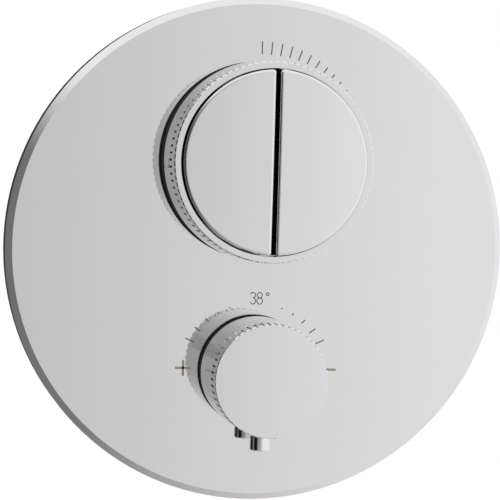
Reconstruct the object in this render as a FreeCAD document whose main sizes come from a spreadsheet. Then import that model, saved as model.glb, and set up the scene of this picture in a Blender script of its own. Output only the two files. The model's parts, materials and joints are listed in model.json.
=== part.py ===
"""Concealed thermostatic shower valve with a round wall plate.

Upper unit: a flow ring that turns round two half-moon push buttons.
Lower unit: a temperature knob with a spring-loaded override button.
Behind them, in the wall: the brass body with its cartridges, on a wall bracket.

Every piece is modelled about its own axis, Z pointing out of the wall and Y up,
and then turned so that +Z of the finished part is up and the plate faces -Y.
The origin is the middle of the bracket's back face. A "station" is a distance
from that face, measured out towards the user.
"""
import FreeCAD, Part
import math
import os
import re

import Sketcher
from FreeCAD import Placement, Rotation, Vector

SIZES = [
    # alias, millimetres (degrees for angles, a bare number for counts)
    ("running_clearance", 0.05),
    ("seat_gap", 0.3),
    ("fit_clearance", 0.1),
    ("edge_bevel", 1),
    ("small_bevel", 0.5),
    # wall plate
    ("plate_diameter", 220),
    ("plate_depth", 15),
    ("plate_wall", 3),
    ("rim_bevel", 2.9),
    ("rim_wall", 3.2),
    ("seal_width", 3.6),
    ("seal_depth", 4),
    ("plate_rear_gap", 0.4),
    ("wall_line", 66),
    ("flow_height", 39),
    ("temperature_height", -53),
    ("hole_clearance", 0.6),
    ("collar_wall", 2.4),
    # mounting frame behind the plate
    ("frame_back", 67.5),
    ("frame_thickness", 4),
    ("frame_upper_radius", 52.5),
    ("frame_lower_radius", 34),
    ("frame_bridge", 44),
    ("upper_post_offset", 47.5),
    ("lower_post_offset", 29),
    ("screw_radius", 2),
    ("screw_head_radius", 3.5),
    ("screw_head_depth", 2),
    # dark sleeves that carry the ring and surround the knob's cartridge
    ("flow_sleeve_radius", 40),
    ("temperature_sleeve_radius", 21.2),
    ("sleeve_wall", 3.4),
    ("temperature_sleeve_wall", 2.6),
    ("flow_sleeve_front", 96),
    ("temperature_sleeve_front", 94),
    ("seal_groove_back", 74),
    ("seal_wire", 2),
    # flow ring
    ("ring_radius", 43.5),
    ("ring_front_radius", 42.75),
    ("ring_back", 90),
    ("ring_front", 118),
    ("ring_bevel", 0.5),
    ("ring_grip_length", 12.5),
    ("ring_flutes", 90),
    ("ring_mouth_radius", 40.1),
    ("gear_depth", 6.8),
    ("bearing_wall", 1),
    ("flute_width", 0.95),
    ("flute_depth", 0.45),
    # flow gear train
    ("gear_module", 1.5),
    ("ring_teeth", 48),
    ("pinion_teeth", 16),
    ("pressure_angle", 20),
    ("tooth_backlash", 0.16),
    ("ring_addendum", 0.9),
    ("ring_dedendum", 1.15),
    ("pinion_addendum", 0.85),
    ("pinion_dedendum", 1.2),
    ("flow_spindle_radius", 3),
    ("spindle_shoulder", 1),
    ("flow_bore_back", 41),
    ("flow_cartridge_radius", 10),
    ("flow_nose_radius", 7),
    ("flow_nose_front", 94),
    ("flow_nut_flats", 22),
    # push buttons
    ("button_radius", 39.2),
    ("button_split", 1.7),
    ("button_front", 122.7),
    ("button_depth", 10.5),
    ("button_face", 2.6),
    ("button_wall", 2),
    ("button_corner", 1.5),
    ("button_edge", 1.2),
    ("button_crown", 0.5),
    ("button_travel", 4),
    ("push_spacing", 39),
    ("push_rod_radius", 3),
    ("push_rod_back", 86),
    ("push_boss_wall", 2.2),
    ("push_boss_depth", 3.4),
    ("push_cartridge_radius", 13),
    ("push_nose_radius", 9),
    ("push_nose_front", 92),
    ("push_nut_flats", 27),
    ("push_nut_depth", 8),
    # carrier that guides the buttons
    ("carrier_thickness", 3),
    ("carrier_hub_radius", 4.6),
    ("guide_wall", 2.4),
    ("guide_front", 112),
    # temperature knob
    ("knob_radius", 24.2),
    ("knob_rear_radius", 24.45),
    ("knob_wall", 2.4),
    ("knob_back", 85.6),
    ("knob_front", 126.6),
    ("knob_crown", 0.18),
    ("knob_face", 3),
    ("knob_chamfer", 0.5),
    ("knob_rear_step", 1.2),
    ("knob_step_depth", 0.4),
    ("knob_grip_length", 11.5),
    ("knob_flutes", 54),
    ("insert_back", 95.5),
    ("insert_front", 109.5),
    ("clip_wire", 1),
    ("clip_station", 108),
    ("clip_inner_depth", 0.7),
    ("clip_outer_depth", 0.5),
    ("clip_inset", 0.12),
    ("knob_screw_length", 12),
    ("spindle_radius", 4),
    ("spindle_back", 60.5),
    ("stem_engagement", 6),
    ("temperature_cartridge_radius", 17),
    ("temperature_cartridge_back", 8),
    ("temperature_nose_radius", 11),
    ("temperature_nose_front", 92),
    ("temperature_nut_flats", 38),
    ("temperature_nut_depth", 10),
    ("stop_ring_back", 80),
    ("stop_ring_depth", 4),
    ("stop_lug_depth", 3),
    ("stop_wall", 3),
    ("stop_lug_angle", 20),
    ("knob_swing", 90),
    ("stop_margin_angle", 1.5),
    ("stop_lug_inset", 0.6),
    # override button, its distances measured from the knob's axis
    ("override_radius", 4.5),
    ("override_station", 102.2),
    ("override_reach", 32.2),
    ("override_shoulder", 20.3),
    ("override_tail_end", 9.5),
    ("override_tail_radius", 1.5),
    ("override_chamber", 12),
    ("override_travel", 3),
    ("override_spring_wire", 0.7),
    ("override_spring_turns", 5),
    # thermostatic element
    ("chamber_radius", 12),
    ("chamber_back", 14),
    ("chamber_front", 50),
    ("wax_radius", 5),
    ("wax_back", 22),
    ("wax_front", 38),
    ("wax_stem_radius", 2),
    ("wax_stem_front", 63.5),
    ("slide_back", 26),
    ("slide_depth", 9),
    ("slide_wall", 2.4),
    ("port_radius", 2.5),
    # brass body
    ("body_back", 2.5),
    ("body_front", 56),
    ("upper_body_radius", 38),
    ("upper_body_back", 14),
    ("lower_body_radius", 24),
    ("bridge_width", 30),
    ("bridge_depth", 28),
    ("cartridge_seat", 24),
    ("o_ring_station", 32),
    ("waterway_station", 32),
    ("waterway_radius", 4.5),
    ("cross_way_radius", 4),
    ("cross_way_station", 42),
    ("inlet_span", 124),
    ("inlet_boss_radius", 14),
    ("boss_flats", 30),
    ("boss_hexagon_depth", 9),
    ("inlet_thread_radius", 9.3),
    ("thread_depth", 14),
    ("outlet_top", 88),
    ("post_radius", 4.6),
    ("check_valve_radius", 7.6),
    ("check_valve_length", 12),
    ("filter_length", 5),
    ("filter_wall", 1.2),
    ("o_ring_wire", 2),
    # wall bracket
    ("bracket_width", 112),
    ("bracket_height", 184),
    ("bracket_corner", 12),
    ("fixing_spacing_x", 92),
    ("fixing_spacing_z", 164),
    ("fixing_hole_radius", 3.25),
    ("bracket_screw_length", 12),
    ("bracket_web", 1),
    ("frame_screw_length", 10),
]

TOLERANCE = 0.01

doc = FreeCAD.newDocument("thermostatic_shower_valve")
sheet = doc.addObject("Spreadsheet::Sheet", "sizes")
for row, (alias, value) in enumerate(SIZES, start=1):
    sheet.set(f"A{row}", alias.replace("_", " "))
    sheet.set(f"B{row}", str(value))
    sheet.setAlias(f"B{row}", alias)
doc.recompute()

# Stations and places that several pieces share, written in terms of the sheet.
SHARED = {
    "plate_radius": "plate_diameter / 2",
    "plate_front": "wall_line + plate_depth",
    "frame_front": "frame_back + frame_thickness",
    "gear_back": "flow_sleeve_front + bearing_wall + seat_gap",
    "gear_front": "gear_back + gear_depth",
    "carrier_back": "gear_front + seat_gap",
    "carrier_front": "carrier_back + carrier_thickness",
    "knob_bore": "knob_radius - knob_wall",
    "o_ring_groove_front": "o_ring_station + o_ring_wire + 2 * fit_clearance",
    "centre_distance": "gear_module * (ring_teeth - pinion_teeth) / 2",
}


def tie(text):
    """Spell an expression on the sheet's names in full, shared values included."""
    names = {alias for alias, _ in SIZES}
    while any(re.search(rf"\b{key}\b", text) for key in SHARED):
        for key, meaning in SHARED.items():
            text = re.sub(rf"\b{key}\b", f"({meaning})", text)
    return re.sub(r"[a-z]\w*", lambda m: f"sizes.{m[0]}" if m[0] in names else m[0], text)


def number(text):
    """The present value of such an expression."""
    result = sheet.evalExpression(tie(str(text)))
    return float(getattr(result, "Value", result))


def match(first, second):
    """Whether two lengths are the same within the modelling tolerance."""
    return abs(first - second) < TOLERANCE


def plus(first, second):
    """Sum of two expressions, each kept whole."""
    return f"({first}) + ({second})"


# Where each axis stands on the wall: across and up.
AXES = {
    "plate": ("0", "0"),
    "flow": ("0", "flow_height"),
    "flow_valve": ("0", "flow_height + centre_distance"),
    "left_push": ("-push_spacing / 2", "flow_height"),
    "right_push": ("push_spacing / 2", "flow_height"),
    "temperature": ("0", "temperature_height"),
}
POSTS = [
    ("upper_post_offset", "flow_height"),
    ("-upper_post_offset", "flow_height"),
    ("lower_post_offset", "temperature_height"),
    ("-lower_post_offset", "temperature_height"),
]

OUT_OF_WALL = Rotation(Vector(1, 0, 0), 90)
TO_RIGHT = Rotation(Vector(0, 1, 0), 90)
TO_LEFT = Rotation(Vector(0, 1, 0), -90)
UPWARD = Rotation(Vector(0, 0, 1), 0)
DOWNWARD = Rotation(Vector(1, 0, 0), 180)

parts = {}


def keep(name, item):
    """Make item one of the finished pieces, under its node's name."""
    item.Label = name
    parts[name] = item
    return item


def stand(item, across, up, out="0", turn=OUT_OF_WALL):
    """Place an item: across and up on the wall, and out from the bracket's back face."""
    item.Placement = Placement(Vector(0, 0, 0), turn)
    item.setExpression("Placement.Base.x", tie(across))
    item.setExpression("Placement.Base.y", tie(f"-({out})"))
    item.setExpression("Placement.Base.z", tie(up))
    return item


def new_body(name, axis="plate"):
    body = doc.addObject("PartDesign::Body", name)
    return stand(body, *AXES[axis])


def sketch_in(body, role, level="0"):
    """A sketch on one of the body's own planes, raised to a level."""
    sketch = body.newObject("Sketcher::SketchObject", f"{body.Name}_sketch")
    plane = next(item for item in body.Origin.OriginFeatures if item.Role == role)
    sketch.AttachmentSupport = [(plane, "")]
    sketch.MapMode = "FlatFace"
    sketch.AttachmentOffset = Placement(Vector(0, 0, number(level)), Rotation())
    if level != "0":
        sketch.setExpression("AttachmentOffset.Base.z", tie(level))
    return sketch


def bind(sketch, kind, *where, size):
    """Add one dimension to a sketch and tie it to the sheet."""
    index = sketch.addConstraint(Sketcher.Constraint(kind, *where, number(size)))
    sketch.setExpression(f"Constraints[{index}]", tie(size))


def polygon(sketch, corners):
    """A closed outline whose corners are pairs of expressions."""
    first = sketch.GeometryCount
    places = [Vector(number(x), number(y), 0) for x, y in corners]
    count = len(places)
    for index in range(count):
        sketch.addGeometry(Part.LineSegment(places[index], places[(index + 1) % count]), False)
    for index in range(count):
        after = first + (index + 1) % count
        sketch.addConstraint(Sketcher.Constraint("Coincident", first + index, 2, after, 1))
    for index, (x, y) in enumerate(corners):
        bind(sketch, "DistanceX", -1, 1, first + index, 1, size=x)
        bind(sketch, "DistanceY", -1, 1, first + index, 1, size=y)


def circle(sketch, x, y, radius):
    index = sketch.addGeometry(
        Part.Circle(Vector(number(x), number(y), 0), Vector(0, 0, 1), number(radius)), False)
    bind(sketch, "DistanceX", -1, 1, index, 3, size=x)
    bind(sketch, "DistanceY", -1, 1, index, 3, size=y)
    bind(sketch, "Radius", index, size=radius)


def half_moon(sketch, side, radius, straight):
    """Half a disc: an arc closed by a straight edge that stands clear of the middle."""
    reach = math.acos(number(straight) / number(radius))
    middle = 0 if side > 0 else math.pi
    disc = Part.Circle(Vector(0, 0, 0), Vector(0, 0, 1), number(radius))
    arc = sketch.addGeometry(Part.ArcOfCircle(disc, middle - reach, middle + reach), False)
    ends = [sketch.getPoint(arc, 2), sketch.getPoint(arc, 1)]
    line = sketch.addGeometry(Part.LineSegment(*ends), False)
    sketch.addConstraint(Sketcher.Constraint("Coincident", arc, 3, -1, 1))
    sketch.addConstraint(Sketcher.Constraint("Coincident", arc, 2, line, 1))
    sketch.addConstraint(Sketcher.Constraint("Coincident", line, 2, arc, 1))
    sketch.addConstraint(Sketcher.Constraint("Vertical", line))
    bind(sketch, "Radius", arc, size=radius)
    bind(sketch, "DistanceX", -1, 1, line, 1, size=f"{side} * ({straight})")


def feature(body, kind, sketch, length=None):
    """Pad or pocket a sketch outwards by a length, or cut it through both ways."""
    item = body.newObject(f"PartDesign::{kind}", f"{body.Name}_{kind.lower()}")
    item.Profile = sketch
    if length is None:
        item.Type = "ThroughAll"
        item.Midplane = True
    else:
        item.Length = number(length)
        item.setExpression("Length", tie(length))
        item.Reversed = kind == "Pocket"
    body.Tip = item
    doc.recompute()
    return item


def revolve(body, kind, corners):
    """Turn an outline of (radius, station) corners about the body's axis."""
    sketch = sketch_in(body, "XZ_Plane")
    polygon(sketch, corners)
    return spin(body, kind, sketch)


def spin(body, kind, sketch):
    """Turn a sketch in a plane through the body's axis once round it."""
    item = body.newObject(f"PartDesign::{kind}", f"{body.Name}_{kind.lower()}")
    item.Profile = sketch
    item.ReferenceAxis = (sketch, ["V_Axis"])
    item.Angle = 360
    body.Tip = item
    doc.recompute()
    return item


def turned(name, axis, corners):
    """A lathe-turned piece on one of the axes."""
    body = new_body(name, axis)
    revolve(body, "Revolution", corners)
    return body


def tube(inner, outer, back, front):
    return [(inner, back), (outer, back), (outer, front), (inner, front)]


def drill(body, places, radius, level=None, length=None):
    """Round holes through a body, or from a level outwards by a length."""
    sketch = sketch_in(body, "XY_Plane", level or "0")
    for x, y in places:
        circle(sketch, x, y, radius)
    return feature(body, "Pocket", sketch, length)


def raise_ring(body, place, inner, outer, level, length):
    """A round wall with a hole in it, standing on a level."""
    sketch = sketch_in(body, "XY_Plane", level)
    circle(sketch, *place, outer)
    if inner:
        circle(sketch, *place, inner)
    return feature(body, "Pad", sketch, length)


def dress(body, kind, size, wanted):
    """Round or bevel the wanted edges of a body by one size."""
    base = body.Tip
    edges = [f"Edge{index}" for index, edge in enumerate(base.Shape.Edges, start=1) if wanted(edge)]
    item = body.newObject(f"PartDesign::{kind}", f"{body.Name}_{kind.lower()}")
    item.Base = (base, edges)
    dimension = "Radius" if kind == "Fillet" else "Size"
    setattr(item, dimension, number(size))
    item.setExpression(dimension, tie(size))
    body.Tip = item
    doc.recompute()
    return item


def crown(body, radius, front, rise):
    """Turn the front face to a shallow dome, lower by the rise at the radius."""
    bend = f"((({radius}) ^ 2 + ({rise}) ^ 2) / (2 * ({rise})))"
    outer = plus(radius, "seat_gap")
    above = plus(front, rise)
    top, high, far = number(front), number(above), number(outer)
    low = top - number(bend) + math.sqrt(number(bend) ** 2 - far ** 2)
    sketch = sketch_in(body, "YZ_Plane")
    corners = [Vector(0, top, 0), Vector(0, high, 0), Vector(far, high, 0), Vector(far, low, 0)]
    axis, lid, side = (sketch.addGeometry(Part.LineSegment(start, end), False)
                       for start, end in zip(corners, corners[1:]))
    disc = Part.Circle(Vector(0, top - number(bend), 0), Vector(0, 0, 1), number(bend))
    tilt = math.asin(far / number(bend))
    dome = sketch.addGeometry(
        Part.ArcOfCircle(disc, math.pi / 2 - tilt, math.pi / 2), False)
    for first, second in ((axis, lid), (lid, side)):
        sketch.addConstraint(Sketcher.Constraint("Coincident", first, 2, second, 1))
    sketch.addConstraint(Sketcher.Constraint("Coincident", side, 2, dome, 1))
    sketch.addConstraint(Sketcher.Constraint("Coincident", dome, 2, axis, 1))
    sketch.addConstraint(Sketcher.Constraint("Vertical", side))
    for line, x, y in ((axis, "0", front), (lid, "0", above), (side, outer, above)):
        bind(sketch, "DistanceX", -1, 1, line, 1, size=x)
        bind(sketch, "DistanceY", -1, 1, line, 1, size=y)
    bind(sketch, "DistanceX", -1, 1, dome, 3, size="0")
    bind(sketch, "DistanceY", -1, 1, dome, 3, size=f"{front} - {bend}")
    return spin(body, "Groove", sketch)


def barrel(rear, front, back, end, station):
    """Radius at a station of a barrel that narrows evenly from back to end."""
    return f"({rear} - ({rear} - {front}) * ({station} - ({back})) / ({end} - ({back})))"


def flutes(body, count, rear, front, end, length):
    """Straight grip grooves, evenly spaced, that run out through the front edge."""
    start = f"{end} - {length}"
    past = plus(end, "fit_clearance")
    sketch = sketch_in(body, "XZ_Plane")
    polygon(sketch, [
        (plus(rear, "flute_depth"), start),
        (f"{rear} - flute_depth", f"{start} + flute_depth"),
        (f"{front} - flute_depth", past),
        (plus(front, "flute_depth"), past),
    ])
    groove = feature(body, "Pocket", sketch, "flute_width")
    groove.Midplane = True
    pattern = body.newObject("PartDesign::PolarPattern", f"{body.Name}_flutes")
    pattern.Originals = [groove]
    pattern.Axis = (sketch, ["V_Axis"])
    pattern.Angle = 360
    pattern.Occurrences = int(number(count))
    pattern.setExpression("Occurrences", tie(count))
    body.Tip = pattern
    doc.recompute()
    return pattern


def together(name, items):
    """Several alike solids that share one node."""
    group = doc.addObject("Part::Compound", name)
    group.Links = items
    return keep(name, group)


def rod(name, radius, length, across, up, out, turn=OUT_OF_WALL):
    """A plain cylinder that starts at the given place and runs along the turned Z."""
    item = doc.addObject("Part::Cylinder", name)
    item.setExpression("Radius", tie(radius))
    item.setExpression("Height", tie(length))
    return stand(item, across, up, out, turn)


def hexagon(name, flats, depth, across, up, out, turn=OUT_OF_WALL):
    """A six-sided block for a spanner, given its width across flats."""
    item = doc.addObject("Part::Prism", name)
    item.Polygon = 6
    item.setExpression("Circumradius", tie(f"{flats} / sqrt(3)"))
    item.setExpression("Height", tie(depth))
    return stand(item, across, up, out, turn)


def combine(kind, name, *items):
    item = doc.addObject(f"Part::{kind}", name)
    if kind == "Cut":
        item.Base, item.Tool = items
    else:
        item.Shapes = items
    doc.recompute()
    return item


# ---------------------------------------------------------------- wall plate

def wall_plate():
    """Round cover: flat face, bevelled rim, and a collar behind each opening."""
    body = turned("wall_plate", "plate", [
        ("0", "plate_front - plate_wall"),
        ("plate_radius - rim_wall - seal_width", "plate_front - plate_wall"),
        ("plate_radius - rim_wall - seal_width", "wall_line + seal_depth + fit_clearance"),
        ("plate_radius - rim_wall", "wall_line + seal_depth + fit_clearance"),
        ("plate_radius - rim_wall", "wall_line + plate_rear_gap"),
        ("plate_radius", "wall_line + plate_rear_gap"),
        ("plate_radius", "plate_front - rim_bevel"),
        ("plate_radius - rim_bevel", "plate_front"),
        ("0", "plate_front"),
    ])
    for axis, radius in (("flow", "flow_sleeve_radius"), ("temperature", "temperature_sleeve_radius")):
        hole = plus(radius, "hole_clearance")
        collar_back = "frame_front + seat_gap"
        collar_depth = f"plate_front - plate_wall - ({collar_back}) + fit_clearance"
        raise_ring(body, AXES[axis], "", plus(hole, "collar_wall"), collar_back, collar_depth)
        drill(body, [AXES[axis]], hole)
    return keep("wall_plate", body)


def plate_seal():
    """Foam strip that closes the rim against the wall."""
    inner = "plate_radius - rim_wall - seal_width + fit_clearance"
    outer = "plate_radius - rim_wall - fit_clearance"
    return keep("plate_seal", turned("plate_seal", "plate", tube(
        inner, outer, "wall_line", "wall_line + seal_depth")))


# ------------------------------------------------------- frame and its sleeves

def mounting_frame():
    """Moulded frame on the body's posts, which carries both sleeves."""
    body = new_body("mounting_frame")
    sketch = sketch_in(body, "XY_Plane", "frame_back")
    circle(sketch, *AXES["flow"], "frame_upper_radius")
    feature(body, "Pad", sketch, "frame_thickness")
    sketch = sketch_in(body, "XY_Plane", "frame_back")
    circle(sketch, *AXES["temperature"], "frame_lower_radius")
    feature(body, "Pad", sketch, "frame_thickness")
    sketch = sketch_in(body, "XY_Plane", "frame_back")
    half = "frame_bridge / 2"
    polygon(sketch, [
        (f"-{half}", "temperature_height"),
        (half, "temperature_height"),
        (half, "flow_height"),
        (f"-{half}", "flow_height"),
    ])
    feature(body, "Pad", sketch, "frame_thickness")
    drill(body, [AXES["left_push"], AXES["right_push"]], "push_nose_radius + hole_clearance")
    drill(body, [AXES["flow_valve"]], "flow_nose_radius + hole_clearance")
    drill(body, [AXES["temperature"]], "temperature_nose_radius + hole_clearance")
    drill(body, [AXES["flow"]] + POSTS, "screw_radius + fit_clearance")
    return keep("mounting_frame", body)


def sleeve(name, axis, radius, wall, front, step):
    """Dark neck through the plate, with a groove for its O-ring and a stepped front."""
    groove_front = "seal_groove_back + seal_wire + 2 * fit_clearance"
    groove_floor = f"{radius} - seal_wire + hole_clearance - fit_clearance"
    corners = [
        (f"{radius} - {wall}", "frame_front"),
        (radius, "frame_front"),
        (radius, "seal_groove_back"),
        (groove_floor, "seal_groove_back"),
        (groove_floor, groove_front),
        (radius, groove_front),
    ]
    if step:
        corners += [
            (radius, f"{front} - {step}"),
            (f"{radius} - bearing_wall", f"{front} - {step}"),
            (f"{radius} - bearing_wall", front),
        ]
    else:
        corners += [(radius, front)]
    corners += [(f"{radius} - {wall}", front)]
    return keep(name, turned(name, axis, corners))


def o_ring(name, axis, middle_radius, wire, station):
    item = doc.addObject("Part::Torus", name)
    item.setExpression("Radius1", tie(middle_radius))
    item.setExpression("Radius2", tie(f"{wire} / 2"))
    return stand(item, *AXES[axis], station)


def sleeve_seals():
    """O-rings that seal the plate round the two sleeves."""
    station = "seal_groove_back + seal_wire / 2 + fit_clearance"
    middle = "hole_clearance - fit_clearance - seal_wire / 2"
    return together("sleeve_seals", [
        o_ring("flow_sleeve_ring", "flow", plus("flow_sleeve_radius", middle), "seal_wire", station),
        o_ring("temperature_sleeve_ring", "temperature",
               plus("temperature_sleeve_radius", middle), "seal_wire", station),
    ])


def ring_bearing():
    """Acetal liner on the sleeve's stepped front, on which the flow ring turns."""
    inner = "flow_sleeve_radius - bearing_wall + running_clearance"
    outer = "flow_sleeve_radius + bearing_wall"
    return keep("ring_bearing", turned("ring_bearing", "flow", [
        (inner, "ring_back + bearing_wall + running_clearance"),
        (outer, "ring_back + bearing_wall + running_clearance"),
        (outer, "flow_sleeve_front + bearing_wall"),
        ("flow_sleeve_radius - sleeve_wall", "flow_sleeve_front + bearing_wall"),
        ("flow_sleeve_radius - sleeve_wall", "flow_sleeve_front"),
        (inner, "flow_sleeve_front"),
    ]))


# -------------------------------------------------------------- flow gear train

def gear_outline(teeth, tip_radius, root_radius, thinning):
    """Outline of an involute spur gear with a tooth on the +X axis."""
    pitch_radius = number("gear_module") * teeth / 2
    pressure = math.radians(number("pressure_angle"))
    base_radius = pitch_radius * math.cos(pressure)

    def involute(radius):
        slope = math.sqrt(max((radius / base_radius) ** 2 - 1, 0))
        return slope - math.atan(slope)

    at_pitch = math.pi / (2 * teeth) - thinning / (2 * pitch_radius) + involute(pitch_radius)
    start = max(root_radius, base_radius)
    steps = 3
    flank = [(start + (tip_radius - start) * step / steps) for step in range(steps + 1)]
    half = [(radius, at_pitch - involute(radius)) for radius in flank]
    if root_radius < base_radius:
        half.insert(0, (root_radius, half[0][1]))
    corners = []
    for tooth in range(teeth):
        centre = 2 * math.pi * tooth / teeth
        corners += [(radius, centre - angle) for radius, angle in half]
        corners += [(radius, centre + angle) for radius, angle in reversed(half)]
    points = [Vector(r * math.cos(a), r * math.sin(a), 0) for r, a in corners]
    return Part.Face(Part.makePolygon(points + points[:1]))


def gear_block(name, face, axis, back, depth):
    """A gear outline drawn out between two stations on an axis."""
    item = doc.addObject("Part::Feature", name)
    item.Shape = face.extrude(Vector(0, 0, number(depth)))
    return stand(item, *AXES[axis], back)


def flow_ring():
    """Turned ring: skirt on the bearing, internal teeth, fluted grip, mouth for the buttons."""
    skirt = "flow_sleeve_radius + bearing_wall + running_clearance"
    shape = ("ring_radius", "ring_front_radius", "ring_back", "ring_front")
    tooth_tip = "gear_module * (ring_teeth / 2 - ring_addendum)"
    blank = turned("ring_blank", "flow", [
        (skirt, "ring_back"),
        ("ring_radius - ring_bevel", "ring_back"),
        (barrel(*shape, "ring_back + ring_bevel"), "ring_back + ring_bevel"),
        (barrel(*shape, "ring_front - ring_bevel"), "ring_front - ring_bevel"),
        ("ring_front_radius - ring_bevel", "ring_front"),
        ("ring_mouth_radius", "ring_front"),
        ("ring_mouth_radius", "gear_front"),
        (tooth_tip, "gear_front"),
        (tooth_tip, "gear_back"),
        (skirt, "gear_back"),
    ])
    grip_back = "(ring_front - ring_grip_length)"
    flutes(blank, "ring_flutes", barrel(*shape, grip_back), "ring_front_radius",
           "ring_front", "ring_grip_length")
    module = number("gear_module")
    pitch_radius = module * number("ring_teeth") / 2
    outline = gear_outline(int(number("ring_teeth")),
                           pitch_radius + number("ring_dedendum") * module,
                           pitch_radius - module, -number("tooth_backlash"))
    spaces = gear_block("ring_tooth_spaces", outline, "flow",
                        "gear_back - edge_bevel", "gear_depth + 2 * edge_bevel")
    return keep("flow_ring", combine("Cut", "toothed_ring", blank, spaces))


def flow_pinion():
    """Pinion on the flow valve's spindle, driven by the ring's internal teeth."""
    module = number("gear_module")
    pitch_radius = module * number("pinion_teeth") / 2
    outline = gear_outline(int(number("pinion_teeth")),
                           pitch_radius + number("pinion_addendum") * module,
                           pitch_radius - number("pinion_dedendum") * module,
                           number("tooth_backlash"))
    blank = gear_block("pinion_blank", outline, "flow_valve",
                       "gear_back + seat_gap", "gear_depth - 2 * seat_gap")
    bore = rod("pinion_bore", "flow_spindle_radius + running_clearance", "gear_depth",
               *AXES["flow_valve"], "gear_back")
    return keep("flow_pinion", combine("Cut", "bored_pinion", blank, bore))


def flow_spindle():
    """Spindle of the flow valve, with a shoulder under the pinion."""
    shoulder = "flow_spindle_radius + spindle_shoulder"
    return keep("flow_spindle", turned("flow_spindle", "flow_valve", [
        ("0", "flow_bore_back + edge_bevel"),
        ("flow_spindle_radius", "flow_bore_back + edge_bevel"),
        ("flow_spindle_radius", "flow_nose_front + seat_gap"),
        (shoulder, "flow_nose_front + seat_gap"),
        (shoulder, "gear_back + running_clearance"),
        ("flow_spindle_radius", "gear_back + running_clearance"),
        ("flow_spindle_radius", "gear_front - seat_gap / 2"),
        ("0", "gear_front - seat_gap / 2"),
    ]))


# ------------------------------------------------------------------ cartridges

def cartridge(name, axis, radius, nose, nose_front, bore, bore_back):
    """Closed valve insert: a housing in the brass body and a nose through its nut."""
    return keep(name, turned(name, axis, [
        ("0", "cartridge_seat"),
        (f"{radius} - edge_bevel", "cartridge_seat"),
        (radius, "cartridge_seat + edge_bevel"),
        (radius, "o_ring_station"),
        (f"{radius} - o_ring_wire", "o_ring_station"),
        (f"{radius} - o_ring_wire", "o_ring_groove_front"),
        (radius, "o_ring_groove_front"),
        (radius, "body_front"),
        (nose, "body_front"),
        (nose, f"{nose_front} - edge_bevel"),
        (f"{nose} - edge_bevel", nose_front),
        (bore, nose_front),
        (bore, bore_back),
        ("0", bore_back),
    ]))


def nut(name, axis, flats, depth, hole):
    """Hexagon nut on the body's front face, round a cartridge's nose."""
    block = hexagon(f"{name}_block", flats, depth, *AXES[axis], "body_front")
    bore = rod(f"{name}_bore", hole, depth, *AXES[axis], "body_front")
    return combine("Cut", name, block, bore)


def cartridge_seals():
    """One O-ring in the groove of each cartridge."""
    station = "o_ring_station + o_ring_wire / 2 + fit_clearance"
    rings = []
    for axis, radius in (
            ("left_push", "push_cartridge_radius"),
            ("right_push", "push_cartridge_radius"),
            ("flow_valve", "flow_cartridge_radius"),
            ("temperature", "temperature_cartridge_radius")):
        rings.append(o_ring(f"{axis}_o_ring", axis, f"{radius} - o_ring_wire / 2",
                            "(o_ring_wire - fit_clearance)", station))
    return together("cartridge_seals", rings)


# --------------------------------------------------------------- push buttons

def push_button(name, side):
    """Half-moon cap with a skirt, and a socket for its push rod."""
    body = new_body(name, "flow")
    back = "button_front - button_depth"
    split = "button_split / 2"
    sketch = sketch_in(body, "XY_Plane", back)
    half_moon(sketch, side, "button_radius", split)
    feature(body, "Pad", sketch, "button_depth")
    sketch = sketch_in(body, "XY_Plane", back)
    half_moon(sketch, side, "button_radius - button_wall", f"{split} + button_wall")
    feature(body, "Pocket", sketch, "button_depth - button_face")
    place = (f"{side} * push_spacing / 2", "0")
    socket_back = "button_front - button_face - push_boss_depth"
    raise_ring(body, place, "", "push_rod_radius + push_boss_wall", socket_back,
               "push_boss_depth + fit_clearance")
    drill(body, [place], "push_rod_radius + running_clearance", socket_back, "push_boss_depth")
    depth, rim = number("button_depth"), number("button_radius")
    dress(body, "Fillet", "button_corner", lambda edge: (
        match(edge.Length, depth)
        and match(math.hypot(*edge.Vertexes[0].Point[:2]), rim)))
    crown(body, "button_radius", "button_front", "button_crown")
    lowest = number("button_front - button_crown") - TOLERANCE
    dress(body, "Fillet", "button_edge", lambda edge: all(
        vertex.Z > lowest for vertex in edge.Vertexes))
    return keep(name, body)


def push_rod(name, axis):
    """Rod between a button's socket and its cartridge."""
    front = "button_front - button_face - running_clearance"
    return keep(name, turned(name, axis, [
        ("0", "push_rod_back"),
        ("push_rod_radius - small_bevel", "push_rod_back"),
        ("push_rod_radius", "push_rod_back + small_bevel"),
        ("push_rod_radius", front),
        ("0", front),
    ]))


def button_carrier():
    """Fixed disc that keeps the ring in place and guides both push rods."""
    hub_hole = "screw_radius + fit_clearance"
    recess = "carrier_front - screw_head_depth"
    body = turned("button_carrier", "flow", [
        (hub_hole, "frame_front"),
        ("carrier_hub_radius", "frame_front"),
        ("carrier_hub_radius", "carrier_back"),
        ("ring_mouth_radius - seat_gap", "carrier_back"),
        ("ring_mouth_radius - seat_gap", "carrier_front"),
        ("screw_head_radius + fit_clearance", "carrier_front"),
        ("screw_head_radius + fit_clearance", recess),
        (hub_hole, recess),
    ])
    for side in (-1, 1):
        place = (f"{side} * push_spacing / 2", "0")
        raise_ring(body, place, "", "push_rod_radius + guide_wall", "carrier_back",
                   "guide_front - carrier_back")
        drill(body, [place], "push_rod_radius + running_clearance")
    return keep("button_carrier", body)


def screw(name, place, back, head_back, head_front):
    """Pan-head screw whose shank starts at the back station."""
    body = doc.addObject("PartDesign::Body", name)
    stand(body, *place)
    revolve(body, "Revolution", [
        ("0", back),
        ("screw_radius", back),
        ("screw_radius", head_back),
        ("screw_head_radius", head_back),
        ("screw_head_radius", head_front),
        ("0", head_front),
    ])
    return body


# -------------------------------------------------------------- temperature unit

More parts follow.
